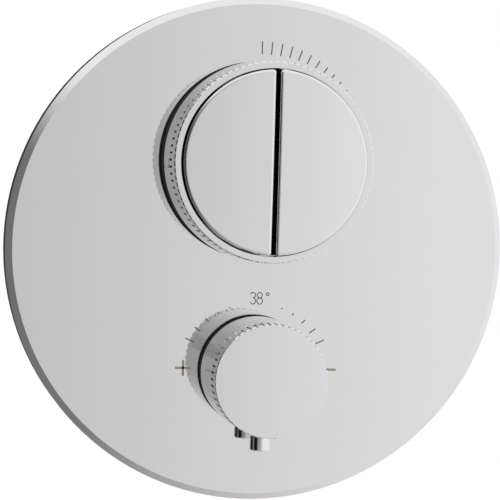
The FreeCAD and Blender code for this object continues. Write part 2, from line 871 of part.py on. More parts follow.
def temperature_cartridge():
    """Thermostatic cartridge: chamber for the wax element, ports, and a nose."""
    radius = "temperature_cartridge_radius"
    stem_bore = "spindle_radius + running_clearance"
    body = turned("temperature_cartridge", "temperature", [
        ("waterway_radius", "temperature_cartridge_back"),
        (f"{radius} - edge_bevel", "temperature_cartridge_back"),
        (radius, "temperature_cartridge_back + edge_bevel"),
        (radius, "o_ring_station"),
        (f"{radius} - o_ring_wire", "o_ring_station"),
        (f"{radius} - o_ring_wire", "o_ring_groove_front"),
        (radius, "o_ring_groove_front"),
        (radius, "body_front"),
        ("temperature_nose_radius", "body_front"),
        ("temperature_nose_radius", "temperature_nose_front - edge_bevel"),
        ("temperature_nose_radius - edge_bevel", "temperature_nose_front"),
        (stem_bore, "temperature_nose_front"),
        (stem_bore, "chamber_front"),
        ("chamber_radius", "chamber_front"),
        ("chamber_radius", "chamber_back"),
        ("waterway_radius", "chamber_back"),
    ])
    for station in ("slide_back - port_radius", "slide_back + slide_depth + port_radius"):
        sketch = sketch_in(body, "YZ_Plane")
        circle(sketch, "0", station, "port_radius")
        feature(body, "Pocket", sketch)
    return keep("temperature_cartridge", body)


def wax_element():
    """Wax capsule and its stem, which the spindle moves in and out."""
    return keep("wax_element", turned("wax_element", "temperature", [
        ("0", "wax_back"),
        ("wax_radius - edge_bevel", "wax_back"),
        ("wax_radius", "wax_back + edge_bevel"),
        ("wax_radius", "wax_front - edge_bevel"),
        ("wax_radius - edge_bevel", "wax_front"),
        ("wax_stem_radius", "wax_front"),
        ("wax_stem_radius", "wax_stem_front"),
        ("0", "wax_stem_front"),
    ]))


def regulating_slide():
    """Ring on the wax capsule that opens one port row as it closes the other."""
    outer = "chamber_radius - running_clearance"
    inner = "wax_radius + running_clearance"
    web_front = "slide_back + slide_wall"
    body = turned("regulating_slide", "temperature", [
        (inner, "slide_back"),
        (outer, "slide_back"),
        (outer, "slide_back + slide_depth"),
        (f"{outer} - slide_wall", "slide_back + slide_depth"),
        (f"{outer} - slide_wall", web_front),
        (inner, web_front),
    ])
    return keep("regulating_slide", body)


def temperature_spindle():
    """Spindle that the knob turns, with a blind hole at each end."""
    front = "insert_front - running_clearance"
    stem_bore = "wax_stem_radius + running_clearance"
    screw_bore = "screw_radius + fit_clearance"
    return keep("temperature_spindle", turned("temperature_spindle", "temperature", [
        (stem_bore, "spindle_back"),
        ("spindle_radius", "spindle_back"),
        ("spindle_radius", front),
        (screw_bore, front),
        (screw_bore, "insert_front - knob_screw_length - edge_bevel"),
        ("0", "insert_front - knob_screw_length - edge_bevel"),
        ("0", "spindle_back + stem_engagement"),
        (stem_bore, "spindle_back + stem_engagement"),
    ]))


def sector(body, half_angle, middle, inner, outer, level, length):
    """Arc-shaped block, as wide as its straight-sided wedge allows."""
    corners = []
    for radius, signs in ((inner, (-1, 1)), (outer, (1, -1))):
        for sign in signs:
            angle = f"({middle} + {sign} * ({half_angle})) * 1 deg"
            corners.append((f"({radius}) * cos({angle})", f"({radius}) * sin({angle})"))
    sketch = sketch_in(body, "XY_Plane", level)
    polygon(sketch, corners)
    return feature(body, "Pad", sketch, length)


def stop_ring():
    """End-stop ring on the cartridge's nose, with a lug for each end of the knob's swing."""
    inner = "temperature_nose_radius + running_clearance"
    outer = f"{inner} + stop_wall"
    body = turned("stop_ring", "temperature", tube(
        inner, outer, "stop_ring_back", "stop_ring_back + stop_ring_depth"))
    lug_place = "knob_swing + stop_lug_angle + stop_margin_angle"
    for side in (-1, 1):
        sector(body, "stop_lug_angle / 2", f"90 + {side} * ({lug_place})",
               plus(inner, "stop_lug_inset"), f"{outer} - fit_clearance",
               "stop_ring_back + stop_ring_depth - fit_clearance",
               "stop_lug_depth + fit_clearance")
    return keep("stop_ring", body)


def knob_insert():
    """Moulded core of the knob: spindle bore, stop finger and override guide."""
    finger_back = "stop_ring_back + stop_ring_depth + seat_gap"
    inner = "temperature_nose_radius + running_clearance"
    rim = "knob_bore - running_clearance"
    body = turned("knob_insert", "temperature", [
        ("spindle_radius + running_clearance", "insert_back"),
        (rim, "insert_back"),
        (rim, "clip_station - clip_wire / 2 - fit_clearance"),
        (f"{rim} - clip_inner_depth", "clip_station - clip_wire / 2 - fit_clearance"),
        (f"{rim} - clip_inner_depth", "clip_station + clip_wire / 2 + fit_clearance"),
        (rim, "clip_station + clip_wire / 2 + fit_clearance"),
        (rim, "insert_front"),
        ("spindle_radius + running_clearance", "insert_front"),
    ])
    sector(body, "stop_lug_angle / 2", "90", plus(inner, "stop_lug_inset"),
           f"{inner} + stop_wall - fit_clearance",
           finger_back, f"insert_back - ({finger_back}) + fit_clearance")
    hole = doc.addObject("Part::Feature", "override_passage")
    chamber = Part.makeCylinder(number("override_radius + running_clearance"),
                                number("knob_radius - override_chamber"),
                                Vector(0, 0, number("override_chamber")))
    tail = Part.makeCylinder(number("override_tail_radius + fit_clearance"),
                             number("override_chamber"),
                             Vector(0, 0, number("override_tail_end - override_travel - seat_gap")))
    hole.Shape = chamber.fuse(tail)
    stand(hole, *AXES["temperature"], "override_station", DOWNWARD)
    return keep("knob_insert", combine("Cut", "bored_insert", body, hole))


def temperature_knob():
    """Deep cup with a fluted grip at its domed front, bored for the override button."""
    clip_room = "(clip_wire / 2 + fit_clearance)"
    inner_front = "knob_front - knob_face"
    barrel_back = "knob_back + knob_rear_step"
    shape = ("knob_rear_radius", "knob_radius", barrel_back, "knob_front")
    body = turned("knob_cup", "temperature", [
        ("knob_bore", "knob_back"),
        ("knob_rear_radius - knob_step_depth", "knob_back"),
        ("knob_rear_radius - knob_step_depth", barrel_back),
        ("knob_rear_radius", barrel_back),
        (barrel(*shape, "knob_front - knob_chamfer"), "knob_front - knob_chamfer"),
        ("knob_radius - knob_chamfer", "knob_front"),
        ("0", "knob_front"),
        ("0", inner_front),
        ("knob_bore", inner_front),
        ("knob_bore", f"clip_station + {clip_room}"),
        ("knob_bore + clip_outer_depth", f"clip_station + {clip_room}"),
        ("knob_bore + clip_outer_depth", f"clip_station - {clip_room}"),
        ("knob_bore", f"clip_station - {clip_room}"),
    ])
    crown(body, "knob_radius - knob_chamfer", "knob_front", "knob_crown")
    grip_back = "(knob_front - knob_grip_length)"
    flutes(body, "knob_flutes", barrel(*shape, grip_back), "knob_radius",
           "knob_front", "knob_grip_length")
    hole = rod("override_mouth", "override_radius + running_clearance", "knob_radius",
               *AXES["temperature"], "override_station", DOWNWARD)
    hole.setExpression("Placement.Base.z", tie("temperature_height - knob_bore / 2"))
    return keep("temperature_knob", combine("Cut", "bored_knob", body, hole))


def override_button():
    """Push button that stands down from the knob, on a thin tail."""
    body = doc.addObject("PartDesign::Body", "override_button")
    stand(body, *AXES["temperature"], "override_station", DOWNWARD)
    revolve(body, "Revolution", [
        ("0", "override_tail_end"),
        ("override_tail_radius", "override_tail_end"),
        ("override_tail_radius", "override_shoulder"),
        ("override_radius", "override_shoulder"),
        ("override_radius", "override_reach - small_bevel"),
        ("override_radius - small_bevel", "override_reach"),
        ("0", "override_reach"),
    ])
    return keep("override_button", body)


def override_spring():
    """Coil spring round the tail, between the insert and the button's shoulder."""
    wire = number("override_spring_wire")
    coil_radius = number("(override_radius + override_tail_radius) / 2 + fit_clearance")
    free = number("override_shoulder - override_chamber") - wire - 2 * number("fit_clearance")
    helix = Part.makeHelix(free / number("override_spring_turns"), free, coil_radius)
    section = Part.Wire(Part.makeCircle(wire / 2, Vector(coil_radius, 0, 0), Vector(0, 1, 0)))
    coil = Part.Wire(helix).makePipeShell([section], True, True)
    spring = doc.addObject("Part::Feature", "override_spring")
    spring.Shape = coil
    first_turn = "override_chamber + override_spring_wire / 2 + fit_clearance"
    stand(spring, "0", f"temperature_height - ({first_turn})", "override_station", DOWNWARD)
    return keep("override_spring", spring)


def knob_clip_ring():
    """Wire ring that snaps the knob onto its insert."""
    return keep("knob_clip_ring", o_ring(
        "knob_clip_ring", "temperature", "knob_bore - clip_inset",
        "clip_wire", "clip_station"))


def knob_screw():
    return keep("knob_screw", screw(
        "knob_screw", AXES["temperature"], "insert_front - knob_screw_length",
        "insert_front", "insert_front + screw_head_depth"))


# -------------------------------------------------------------------- brass body

def valve_body():
    """Brass casting: two housings, a bridge, four posts, inlets and outlets."""
    arm_start = "-inlet_span / 2"
    bridge = doc.addObject("Part::Box", "body_bridge")
    bridge.setExpression("Length", tie("bridge_width"))
    bridge.setExpression("Width", tie("flow_height - temperature_height"))
    bridge.setExpression("Height", tie("bridge_depth"))
    stand(bridge, "-bridge_width / 2", "temperature_height", "waterway_station - bridge_depth / 2")
    ears = doc.addObject("Part::Box", "body_ears")
    ears.setExpression("Length", tie("2 * upper_post_offset"))
    ears.setExpression("Width", tie("2 * post_radius"))
    ears.setExpression("Height", tie("bridge_depth"))
    stand(ears, "-upper_post_offset", "flow_height - post_radius",
          "waterway_station - bridge_depth / 2")
    solids = [
        bridge,
        ears,
        rod("upper_housing", "upper_body_radius", "body_front - upper_body_back",
            *AXES["flow"], "upper_body_back"),
        rod("lower_housing", "lower_body_radius", "body_front - body_back",
            *AXES["temperature"], "body_back"),
        rod("inlet_arms", "inlet_boss_radius", "inlet_span",
            arm_start, "temperature_height", "waterway_station", TO_RIGHT),
    ]
    cuts = [
        rod("flow_bore", "flow_cartridge_radius + running_clearance", "body_front",
            *AXES["flow_valve"], "cartridge_seat"),
        rod("temperature_bore", "temperature_cartridge_radius + running_clearance", "body_front",
            *AXES["temperature"], "temperature_cartridge_back"),
        rod("mixed_water_way", "waterway_radius", "flow_height + centre_distance - temperature_height",
            *AXES["temperature"], "waterway_station", UPWARD),
        rod("cross_way", "cross_way_radius", "push_spacing",
            "-push_spacing / 2", "flow_height + push_cartridge_radius - waterway_radius",
            "cross_way_station", TO_RIGHT),
    ]
    for axis in ("left_push", "right_push"):
        across, up = AXES[axis]
        solids += [
            rod(f"{axis}_outlet_boss", "inlet_boss_radius", "outlet_top - flow_height",
                across, up, "waterway_station", UPWARD),
            hexagon(f"{axis}_outlet_hexagon", "boss_flats", "boss_hexagon_depth",
                    across, "outlet_top - boss_hexagon_depth", "waterway_station", UPWARD),
        ]
        cuts += [
            rod(f"{axis}_bore", "push_cartridge_radius + running_clearance", "body_front",
                across, up, "cartridge_seat"),
            rod(f"{axis}_outlet", "check_valve_radius", "outlet_top - flow_height",
                across, up, "waterway_station", UPWARD),
            rod(f"{axis}_outlet_thread", "inlet_thread_radius", "thread_depth + edge_bevel",
                across, "outlet_top - thread_depth", "waterway_station", UPWARD),
        ]
    for side, turn in ((-1, TO_LEFT), (1, TO_RIGHT)):
        label = "hot" if side < 0 else "cold"
        solids.append(hexagon(
            f"{label}_hexagon", "boss_flats", "boss_hexagon_depth",
            f"{side} * (inlet_span / 2 - boss_hexagon_depth)", "temperature_height",
            "waterway_station", turn))
        cuts += [
            rod(f"{label}_way", "check_valve_radius + fit_clearance",
                "inlet_span / 2 + edge_bevel",
                "0", "temperature_height", "waterway_station", turn),
            rod(f"{label}_thread", "inlet_thread_radius", "thread_depth + edge_bevel",
                f"{side} * (inlet_span / 2 - thread_depth)", "temperature_height",
                "waterway_station", turn),
        ]
    for index, (across, up) in enumerate(POSTS):
        solids.append(rod(f"post_{index}", "post_radius", "frame_back - body_back",
                          across, up, "body_back"))
        cuts += [
            rod(f"post_hole_{index}", "screw_radius + fit_clearance", "bracket_screw_length",
                across, up, "body_back - edge_bevel"),
            rod(f"frame_screw_hole_{index}", "screw_radius + fit_clearance",
                "frame_screw_length + 2 * edge_bevel",
                across, up, "frame_back - frame_screw_length - edge_bevel"),
        ]
    casting = combine("MultiFuse", "casting", *solids)
    waterways = combine("MultiFuse", "waterways", *cuts)
    return keep("valve_body", combine("Cut", "bored_casting", casting, waterways))


def check_valves():
    """Non-return valve in each inlet."""
    items = []
    for side, turn in ((-1, TO_LEFT), (1, TO_RIGHT)):
        start = "inlet_span / 2 - thread_depth - filter_length - check_valve_length - seat_gap"
        items.append(rod(f"check_valve_{'hot' if side < 0 else 'cold'}", "check_valve_radius",
                         "check_valve_length", f"{side} * ({start})",
                         "temperature_height", "waterway_station", turn))
    return together("check_valves", items)


def inlet_filters():
    """Mesh thimble in front of each non-return valve."""
    items = []
    for side, turn in ((-1, TO_LEFT), (1, TO_RIGHT)):
        label = "hot" if side < 0 else "cold"
        place = (f"{side} * (inlet_span / 2 - thread_depth - filter_length)",
                 "temperature_height", "waterway_station")
        cup = rod(f"{label}_filter_cup", "check_valve_radius", "filter_length", *place, turn)
        room = rod(f"{label}_filter_room", "check_valve_radius - filter_wall",
                   "filter_length", *place, turn)
        room.setExpression("Placement.Base.x", tie(f"{place[0]} + {side} * filter_wall"))
        items.append(combine("Cut", f"{label}_filter", cup, room))
    return together("inlet_filters", items)


def wall_bracket():
    """Steel plate that the body stands on, with a fixing hole in each corner."""
    body = new_body("wall_bracket")
    sketch = sketch_in(body, "XY_Plane")
    half_width, half_height = "bracket_width / 2", "bracket_height / 2"
    polygon(sketch, [
        (f"-{half_width}", f"-{half_height}"),
        (half_width, f"-{half_height}"),
        (half_width, half_height),
        (f"-{half_width}", half_height),
    ])
    feature(body, "Pad", sketch, "body_back")
    thickness = number("body_back")
    dress(body, "Fillet", "bracket_corner", lambda edge: match(edge.Length, thickness))
    fixings = [(f"{x} * fixing_spacing_x / 2", f"{y} * fixing_spacing_z / 2")
               for x in (-1, 1) for y in (-1, 1)]
    drill(body, fixings, "fixing_hole_radius")
    drill(body, POSTS, "screw_radius + fit_clearance")
    drill(body, POSTS, "screw_head_radius + fit_clearance", "0", "body_back - bracket_web")
    return keep("wall_bracket", body)


def bracket_screws():
    """Screws from behind the bracket into the body's posts."""
    items = []
    for index, place in enumerate(POSTS):
        body = doc.addObject("PartDesign::Body", f"bracket_screw_{index}")
        stand(body, *place)
        revolve(body, "Revolution", [
            ("0", "fit_clearance"),
            ("screw_head_radius", "fit_clearance"),
            ("screw_head_radius", "body_back - bracket_web - fit_clearance"),
            ("screw_radius", "body_back - bracket_web - fit_clearance"),
            ("screw_radius", "bracket_screw_length"),
            ("0", "bracket_screw_length"),
        ])
        items.append(body)
    return together("bracket_screws", items)


def frame_screws():
    """Screws through the mounting frame into the body's posts."""
    return together("frame_screws", [
        screw(f"frame_screw_{index}", place, "frame_back - frame_screw_length",
              "frame_front", "frame_front + screw_head_depth")
        for index, place in enumerate(POSTS)])


def build():
    wall_bracket()
    valve_body()
    bracket_screws()
    check_valves()
    inlet_filters()
    for side in ("left", "right"):
        cartridge(f"{side}_push_cartridge", f"{side}_push", "push_cartridge_radius",
                  "push_nose_radius", "push_nose_front", "push_rod_radius + running_clearance",
                  "push_rod_back - button_travel - edge_bevel")
    cartridge("flow_cartridge", "flow_valve", "flow_cartridge_radius", "flow_nose_radius",
              "flow_nose_front", "flow_spindle_radius + running_clearance", "flow_bore_back")
    temperature_cartridge()
    cartridge_seals()
    together("push_nuts", [
        nut(f"{side}_push_nut", f"{side}_push", "push_nut_flats", "push_nut_depth",
            "push_nose_radius + fit_clearance") for side in ("left", "right")])
    keep("flow_nut", nut("flow_nut", "flow_valve", "flow_nut_flats", "push_nut_depth",
                         "flow_nose_radius + fit_clearance"))
    keep("cartridge_nut", nut("cartridge_nut", "temperature", "temperature_nut_flats",
                              "temperature_nut_depth", "temperature_nose_radius + fit_clearance"))
    wax_element()
    regulating_slide()
    temperature_spindle()
    mounting_frame()
    frame_screws()
    sleeve("flow_sleeve", "flow", "flow_sleeve_radius", "sleeve_wall", "flow_sleeve_front",
           "(flow_sleeve_front - ring_back - bearing_wall)")
    sleeve("temperature_sleeve", "temperature", "temperature_sleeve_radius",
           "temperature_sleeve_wall", "temperature_sleeve_front", None)
    sleeve_seals()
    ring_bearing()
    wall_plate()
    plate_seal()
    flow_ring()
    flow_spindle()
    flow_pinion()
    button_carrier()
    keep("carrier_screw", screw("carrier_screw", AXES["flow"], "frame_back + edge_bevel",
                                "carrier_front - screw_head_depth", "carrier_front"))
    push_button("left_button", -1)
    push_button("right_button", 1)
    push_rod("left_push_rod", "left_push")
    push_rod("right_push_rod", "right_push")
    stop_ring()
    knob_insert()
    temperature_knob()
    knob_clip_ring()
    knob_screw()
    override_button()
    override_spring()


def check_and_write():
    """Stop on any failed object, then write every piece to its own file."""
    doc.recompute()
    failed = [item.Label for item in doc.Objects
              if "Invalid" in item.State or "Error" in item.State]
    if failed:
        raise RuntimeError(f"failed objects: {failed}")
    os.makedirs("parts", exist_ok=True)
    for name, item in parts.items():
        shape = item.Shape
        if shape.isNull() or not shape.isValid() or not shape.Solids:
            raise RuntimeError(f"bad shape: {name}")
        shape.exportStep(f"parts/{name}.step")
        print(f"{name}: {len(shape.Solids)} solid(s), {shape.Volume / 1000:.2f} cm3")


build()
check_and_write()
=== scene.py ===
import json
import math

import bmesh
import bpy
from bpy.props import FloatProperty, FloatVectorProperty, IntProperty, PointerProperty
from mathutils import Matrix, Vector


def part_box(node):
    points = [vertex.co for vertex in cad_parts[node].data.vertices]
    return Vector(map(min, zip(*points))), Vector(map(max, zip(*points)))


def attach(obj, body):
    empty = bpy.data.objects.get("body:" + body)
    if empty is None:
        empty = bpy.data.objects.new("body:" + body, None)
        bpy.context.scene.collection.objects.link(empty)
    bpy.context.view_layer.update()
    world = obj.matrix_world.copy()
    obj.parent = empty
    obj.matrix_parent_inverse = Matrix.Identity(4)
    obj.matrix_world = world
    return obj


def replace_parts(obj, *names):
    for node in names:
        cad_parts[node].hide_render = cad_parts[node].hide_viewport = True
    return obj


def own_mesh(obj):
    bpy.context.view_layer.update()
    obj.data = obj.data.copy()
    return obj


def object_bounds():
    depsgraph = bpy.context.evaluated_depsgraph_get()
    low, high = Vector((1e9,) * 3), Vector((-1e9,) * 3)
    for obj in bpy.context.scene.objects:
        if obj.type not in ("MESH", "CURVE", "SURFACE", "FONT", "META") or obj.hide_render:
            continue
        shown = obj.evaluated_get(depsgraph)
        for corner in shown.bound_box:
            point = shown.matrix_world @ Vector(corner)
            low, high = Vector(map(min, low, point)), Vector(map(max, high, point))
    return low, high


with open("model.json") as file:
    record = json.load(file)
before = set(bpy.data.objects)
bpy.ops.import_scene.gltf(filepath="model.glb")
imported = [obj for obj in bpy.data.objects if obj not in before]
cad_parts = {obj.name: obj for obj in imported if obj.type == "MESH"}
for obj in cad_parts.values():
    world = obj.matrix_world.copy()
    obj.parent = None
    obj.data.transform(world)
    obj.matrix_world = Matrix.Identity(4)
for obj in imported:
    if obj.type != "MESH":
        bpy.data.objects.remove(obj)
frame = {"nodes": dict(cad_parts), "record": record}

bl_info = {
    "name": "Shower Valve Finishes",
    "version": (1, 0, 0),
    "blender": (4, 5, 0),
    "location": "3D View > Sidebar > Shower Valve",
    "description": "Finishes, threads, screws, printed scales and studio for a shower valve",
    "category": "Object",
}

CAD_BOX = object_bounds()
SLOT_OF_NODE = {row["node"]: row["material_slot"] for row in frame["record"]["subparts"]}
MILLIMETRE = 0.001
SENSOR_WIDTH = 36.0    # of the camera, in millimetres

# Shares of a wiper's pitch at which a lip has risen, begins to fall and has fallen.
LIP_RISE, LIP_CREST, LIP_FALL = 0.3, 0.45, 0.75

# Places of the two controls and of the plate's front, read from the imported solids.
RING_LOW, RING_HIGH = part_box("flow_ring")
KNOB_LOW, KNOB_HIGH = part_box("temperature_knob")
PLATE_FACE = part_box("wall_plate")[0].y
FLOW_CENTRE = ((RING_LOW.x + RING_HIGH.x) / 2, (RING_LOW.z + RING_HIGH.z) / 2)
KNOB_CENTRE = ((KNOB_LOW.x + KNOB_HIGH.x) / 2, (KNOB_LOW.z + KNOB_HIGH.z) / 2)


# ---------------- properties

def metres(name, description, default):
    """A length, given and kept in metres."""
    return FloatProperty(name=name, description=description, default=default, min=0.0,
                         unit="LENGTH", subtype="DISTANCE", precision=5)


def millimetres(name, description, default):
    """A length of the valve, given in millimetres and kept in metres."""
    return metres(name, description, default * MILLIMETRE)


def degrees(name, description, default):
    """An angle, given in degrees and kept in radians."""
    return FloatProperty(name=name, description=description, default=math.radians(default),
                         subtype="ANGLE")


def tint(name, description, default):
    """A colour of a finish, in linear values."""
    return FloatVectorProperty(name=name, description=description, default=default,
                               size=3, min=0.0, max=1.0, subtype="COLOR")


class ValveCamera(bpy.types.PropertyGroup):
    """Where the valve is looked at from."""
    place: FloatVectorProperty(
        name="Place", description="Camera position", default=(-0.18329, -1.15454, 0.05605),
        size=3, unit="LENGTH", subtype="TRANSLATION")
    aim: FloatVectorProperty(
        name="Aim", description="Direction the camera looks in",
        default=(0.16510, 0.98493, -0.05147), size=3, subtype="DIRECTION")
    top: FloatVectorProperty(
        name="Top", description="Direction of the picture's top",
        default=(-0.01991, 0.05551, 0.99826), size=3, subtype="DIRECTION")
    lens: FloatProperty(
        name="Lens", description="Focal length on a 36 mm sensor", default=179.55,
        min=1.0, unit="CAMERA")


class ValveStudio(bpy.types.PropertyGroup):
    """Light tent, floor and lamps round the valve."""
    tent_radius: metres("Tent radius", "Distance of the reflected light tent", 12.0)
    floor_drop: metres("Floor drop", "Height of the valve's lowest edge over the floor", 0.25)
    floor_radius: metres("Floor radius", "Radius at which the floor has faded out", 0.9)
    floor_colour: tint("Floor", "Colour of the floor", (0.93, 0.93, 0.93))
    flag_distance: metres("Flag distance", "Distance of the flags from the bracket's back", 1.2)
    plain_level: FloatProperty(
        name="Plain level", description="Strength of the surrounding light on matt surfaces",
        default=0.70, min=0.0)


class ValveFinishes(bpy.types.PropertyGroup):
    """Colours of the valve's materials, each under its material's name."""
    polished_chrome: tint("Chrome", "Polished chrome plate", (0.80, 0.80, 0.795))
    dark_plastic: tint("Dark plastic", "Black acetal", (0.006, 0.006, 0.0065))
    black_steel: tint("Black steel", "Black-oxide screw", (0.020, 0.020, 0.021))
    grey_plastic: tint("Grey plastic", "Glass-filled nylon", (0.26, 0.27, 0.28))
    cast_brass: tint("Cast brass", "Sand-cast brass", (0.60, 0.43, 0.19))
    turned_brass: tint("Turned brass", "Machined brass", (0.78, 0.58, 0.27))
    steel: tint("Steel", "Zinc-plated steel", (0.58, 0.59, 0.60))
    spring_steel: tint("Spring steel", "Drawn stainless wire", (0.50, 0.50, 0.51))
    black_rubber: tint("Rubber", "Black sealing rubber", (0.005, 0.005, 0.005))
    foam: tint("Foam", "Closed-cell foam", (0.045, 0.046, 0.048))
    filter_mesh: tint("Gauze", "Stainless filter gauze", (0.52, 0.52, 0.53))
    printed_ink: tint("Ink", "Printed ticks and figures", (0.16, 0.145, 0.13))
    tan_ink: tint("Tan ink", "Printed plus and minus", (0.36, 0.29, 0.20))


class ValveThreads(bpy.types.PropertyGroup):
    """Pipe threads of the brass body, and the machine screws."""
    pipe_pitch: millimetres("Pipe pitch", "Pitch of the pipe threads", 1.814)
    pipe_ridge: millimetres("Pipe ridge", "Height of the pipe threads over the bore", 0.7)
    screw_pitch: millimetres("Screw pitch", "Pitch of the machine screws", 0.7)
    screw_ridge: millimetres("Screw ridge", "Height of the machine screws' thread", 0.3)
    shank_radius: millimetres("Shank radius", "Outer radius of a machine screw", 2.0)
    head_radius: millimetres("Head radius", "Radius of a machine screw's head", 3.5)
    head_depth: millimetres("Head depth", "Depth of a machine screw's head", 2.0)
    upper_posts: millimetres("Upper posts", "Upper posts' distance from the middle", 47.5)
    lower_posts: millimetres("Lower posts", "Lower posts' distance from the middle", 29.0)


class ValveTrim(bpy.types.PropertyGroup):
    """Thin rings round the necks of the two controls, black as painted shade of the gaps there,
    and in the flow ring's mouth.
    """
    play: millimetres("Play", "Room between a wiper and what turns against it", 0.12)
    lip_pitch: millimetres("Lip pitch", "Rough pitch of a wiper's lips", 1.19)
    root: millimetres("Root", "Depth of the valleys between the lips", 0.6)
    inset: millimetres("Inset", "How far a wiper stays inside the barrel before it", 0.05)
    flow_neck: millimetres("Flow neck", "Radius of the neck behind the flow ring", 40.0)
    knob_neck: millimetres("Knob neck", "Radius of the neck behind the knob", 21.2)
    mouth: millimetres("Mouth", "Radius of the flow ring's mouth", 40.1)
    bead: millimetres("Bead", "Width of the bead in the flow ring's mouth", 0.4)


class ValveScales(bpy.types.PropertyGroup):
    """Printed scales on the wall plate."""
    print_depth: millimetres("Print depth", "Thickness of the print", 0.03)
    stroke: millimetres("Stroke", "Width of a tick", 0.55)
    figure_weight: FloatProperty(name="Figure weight", default=0.75, min=0.1,
                                 description="Width of the figures' lines over a tick's")
    flow_marks: IntProperty(name="Flow marks", description="Ticks of the flow scale",
                            default=11, min=1)
    flow_radius: millimetres("Flow radius", "Middle radius of the flow ticks", 49.2)
    flow_length: millimetres("Flow length", "Length of the longest flow tick", 5.7)
    flow_start: degrees("Flow start", "Angle of the first flow tick", -0.5)
    flow_pitch: degrees("Flow pitch", "Angle between flow ticks", 5.03)
    warm_marks: IntProperty(name="Temperature marks",
                            description="Ticks on each side of the temperature scale",
                            default=5, min=1)
    warm_radius: millimetres("Temperature radius", "Inner radius of the ticks", 29.5)
    warm_length: millimetres("Temperature length", "Length of the longest tick", 4.3)
    warm_shortest: millimetres("Shortest", "Length of the shortest temperature tick", 0.6)
    warm_start: degrees("Temperature start", "Angle of the first tick", 22.8)
    warm_pitch: degrees("Temperature pitch", "Angle between ticks", 10.72)
    figure_height: millimetres("Figure height", "Height of the printed figures", 5.1)
    sign_length: millimetres("Sign length", "Length of the plus and minus strokes", 7.0)
    sign_stroke: millimetres("Sign stroke", "Width of the plus and minus strokes", 1.0)
    plus_place: millimetres("Plus place", "Middle of the plus, left of the axis", 31.5)
    minus_place: millimetres("Minus place", "Middle of the minus, right of the axis", 33.0)
    sign_lift: millimetres("Sign lift", "Height of both signs over the axis", 0.9)
    figure_place: millimetres("Figure place", "Middle of the figures over the axis", 31.85)


# ---------------- node trees

class Signal:
    """A node socket that can be reckoned with; each operator adds its Math node."""

    def __init__(self, tree, socket):
        self.tree = tree
        self.socket = socket

    def reckon(self, operation, *values):
        return self.tree.node("ShaderNodeMath", {"operation": operation},
                              dict(enumerate(values)))

    def __add__(self, other):
        return self.reckon("ADD", self, other)

    __radd__ = __add__

    def __sub__(self, other):
        return self.reckon("SUBTRACT", self, other)

    def __rsub__(self, other):
        return self.reckon("SUBTRACT", other, self)

    def __mul__(self, other):
        return self.reckon("MULTIPLY", self, other)

    def __truediv__(self, other):
        return self.reckon("DIVIDE", self, other)

    def __pow__(self, other):
        return self.reckon("POWER", self, other)

    def __abs__(self):
        return self.reckon("ABSOLUTE", self)

    def sine(self):
        return self.reckon("SINE", self)

    def larger(self, other):
        return self.reckon("MAXIMUM", self, other)

    def step(self, low, high):
        """Smooth step from 0 at low to 1 at high."""
        return self.tree.node("ShaderNodeMapRange", {"interpolation_type": "SMOOTHSTEP"},
                              {"Value": self, "From Min": low, "From Max": high})


class Tree:
    """A node tree being filled, with one method for every kind of node."""

    def __init__(self, tree):
        self.tree = tree
        tree.nodes.clear()

    def node(self, kind, settings=None, values=None, output=0):
        made = self.tree.nodes.new(kind)
        for key, value in (settings or {}).items():
            if key == "stops":
                self.set_stops(made.color_ramp, value)
            else:
                setattr(made, key, value)
        for key, value in (values or {}).items():
            if isinstance(value, Signal):
                self.tree.links.new(value.socket, made.inputs[key])
            else:
                made.inputs[key].default_value = value
        return Signal(self, made.outputs[output])

    @staticmethod
    def set_stops(ramp, stops):
        while len(ramp.elements) < len(stops):
            ramp.elements.new(1.0)
        for element, (place, level) in zip(ramp.elements, stops):
            element.position = place
            element.color = (level, level, level, 1.0)


class Paint(Tree):
    """The shader tree of a material or of the world."""

    def place(self):
        """Object coordinates of the shaded point, in metres."""
        return self.node("ShaderNodeTexCoord", output="Object")

    def axis(self, vector, name):
        return self.node("ShaderNodeSeparateXYZ", None, {0: vector}, name)

    def noise(self, vector, scale, detail=2.0, roughness=0.5):
        return self.node("ShaderNodeTexNoise", None,
                         {"Vector": vector, "Scale": scale, "Detail": detail,
                          "Roughness": roughness})

    def cells(self, vector, scale, output="Distance"):
        return self.node("ShaderNodeTexVoronoi", None, {"Vector": vector, "Scale": scale},
                         output)

    def mix(self, factor, first, second):
        """Colour between two colours."""
        def colour(value):
            return value if isinstance(value, Signal) else (*value, 1.0)
        return self.node("ShaderNodeMix", {"data_type": "RGBA"},
                         {0: factor, 6: colour(first), 7: colour(second)}, 2)

    def bump(self, height, depth, strength):
        return self.node("ShaderNodeBump", None,
                         {"Height": height, "Distance": depth, "Strength": strength})

    def surface(self, shader, kind="ShaderNodeOutputMaterial"):
        made = self.tree.nodes.new(kind)
        self.tree.links.new(shader.socket, made.inputs["Surface"])

    def principled(self, constants, varied):
        """Principled surface: constants on their own sockets, varied ones as links."""
        self.surface(self.node("ShaderNodeBsdfPrincipled", None, {**constants, **varied}))


def new_material(name):
    material = bpy.data.materials.new(name)
    material.use_nodes = True
    return material, Paint(material.node_tree)


def shade(colour, factor):
    """A darker or lighter version of a colour."""
    return tuple(min(1.0, channel * factor) for channel in colour)


# ---------------- finishes

# A recipe returns the surface's constants and its varied inputs. Scales are per metre,
# and a bump is given by its depth in metres and its strength.

def chrome_finish(paint, place, colour):
    """Mirror-polished plating whose gloss is barely uneven."""
    cloud = paint.noise(place, 35.0, 3.0)
    haze = paint.noise(place, 420.0, 2.0)
    return {"Metallic": 1.0}, {
        "Base Color": paint.mix(cloud, shade(colour, 0.985), shade(colour, 1.012)),
        "Roughness": 0.014 + cloud * 0.014 + haze * 0.010,
        "Normal": paint.bump(haze, 0.000001, 0.12),
    }


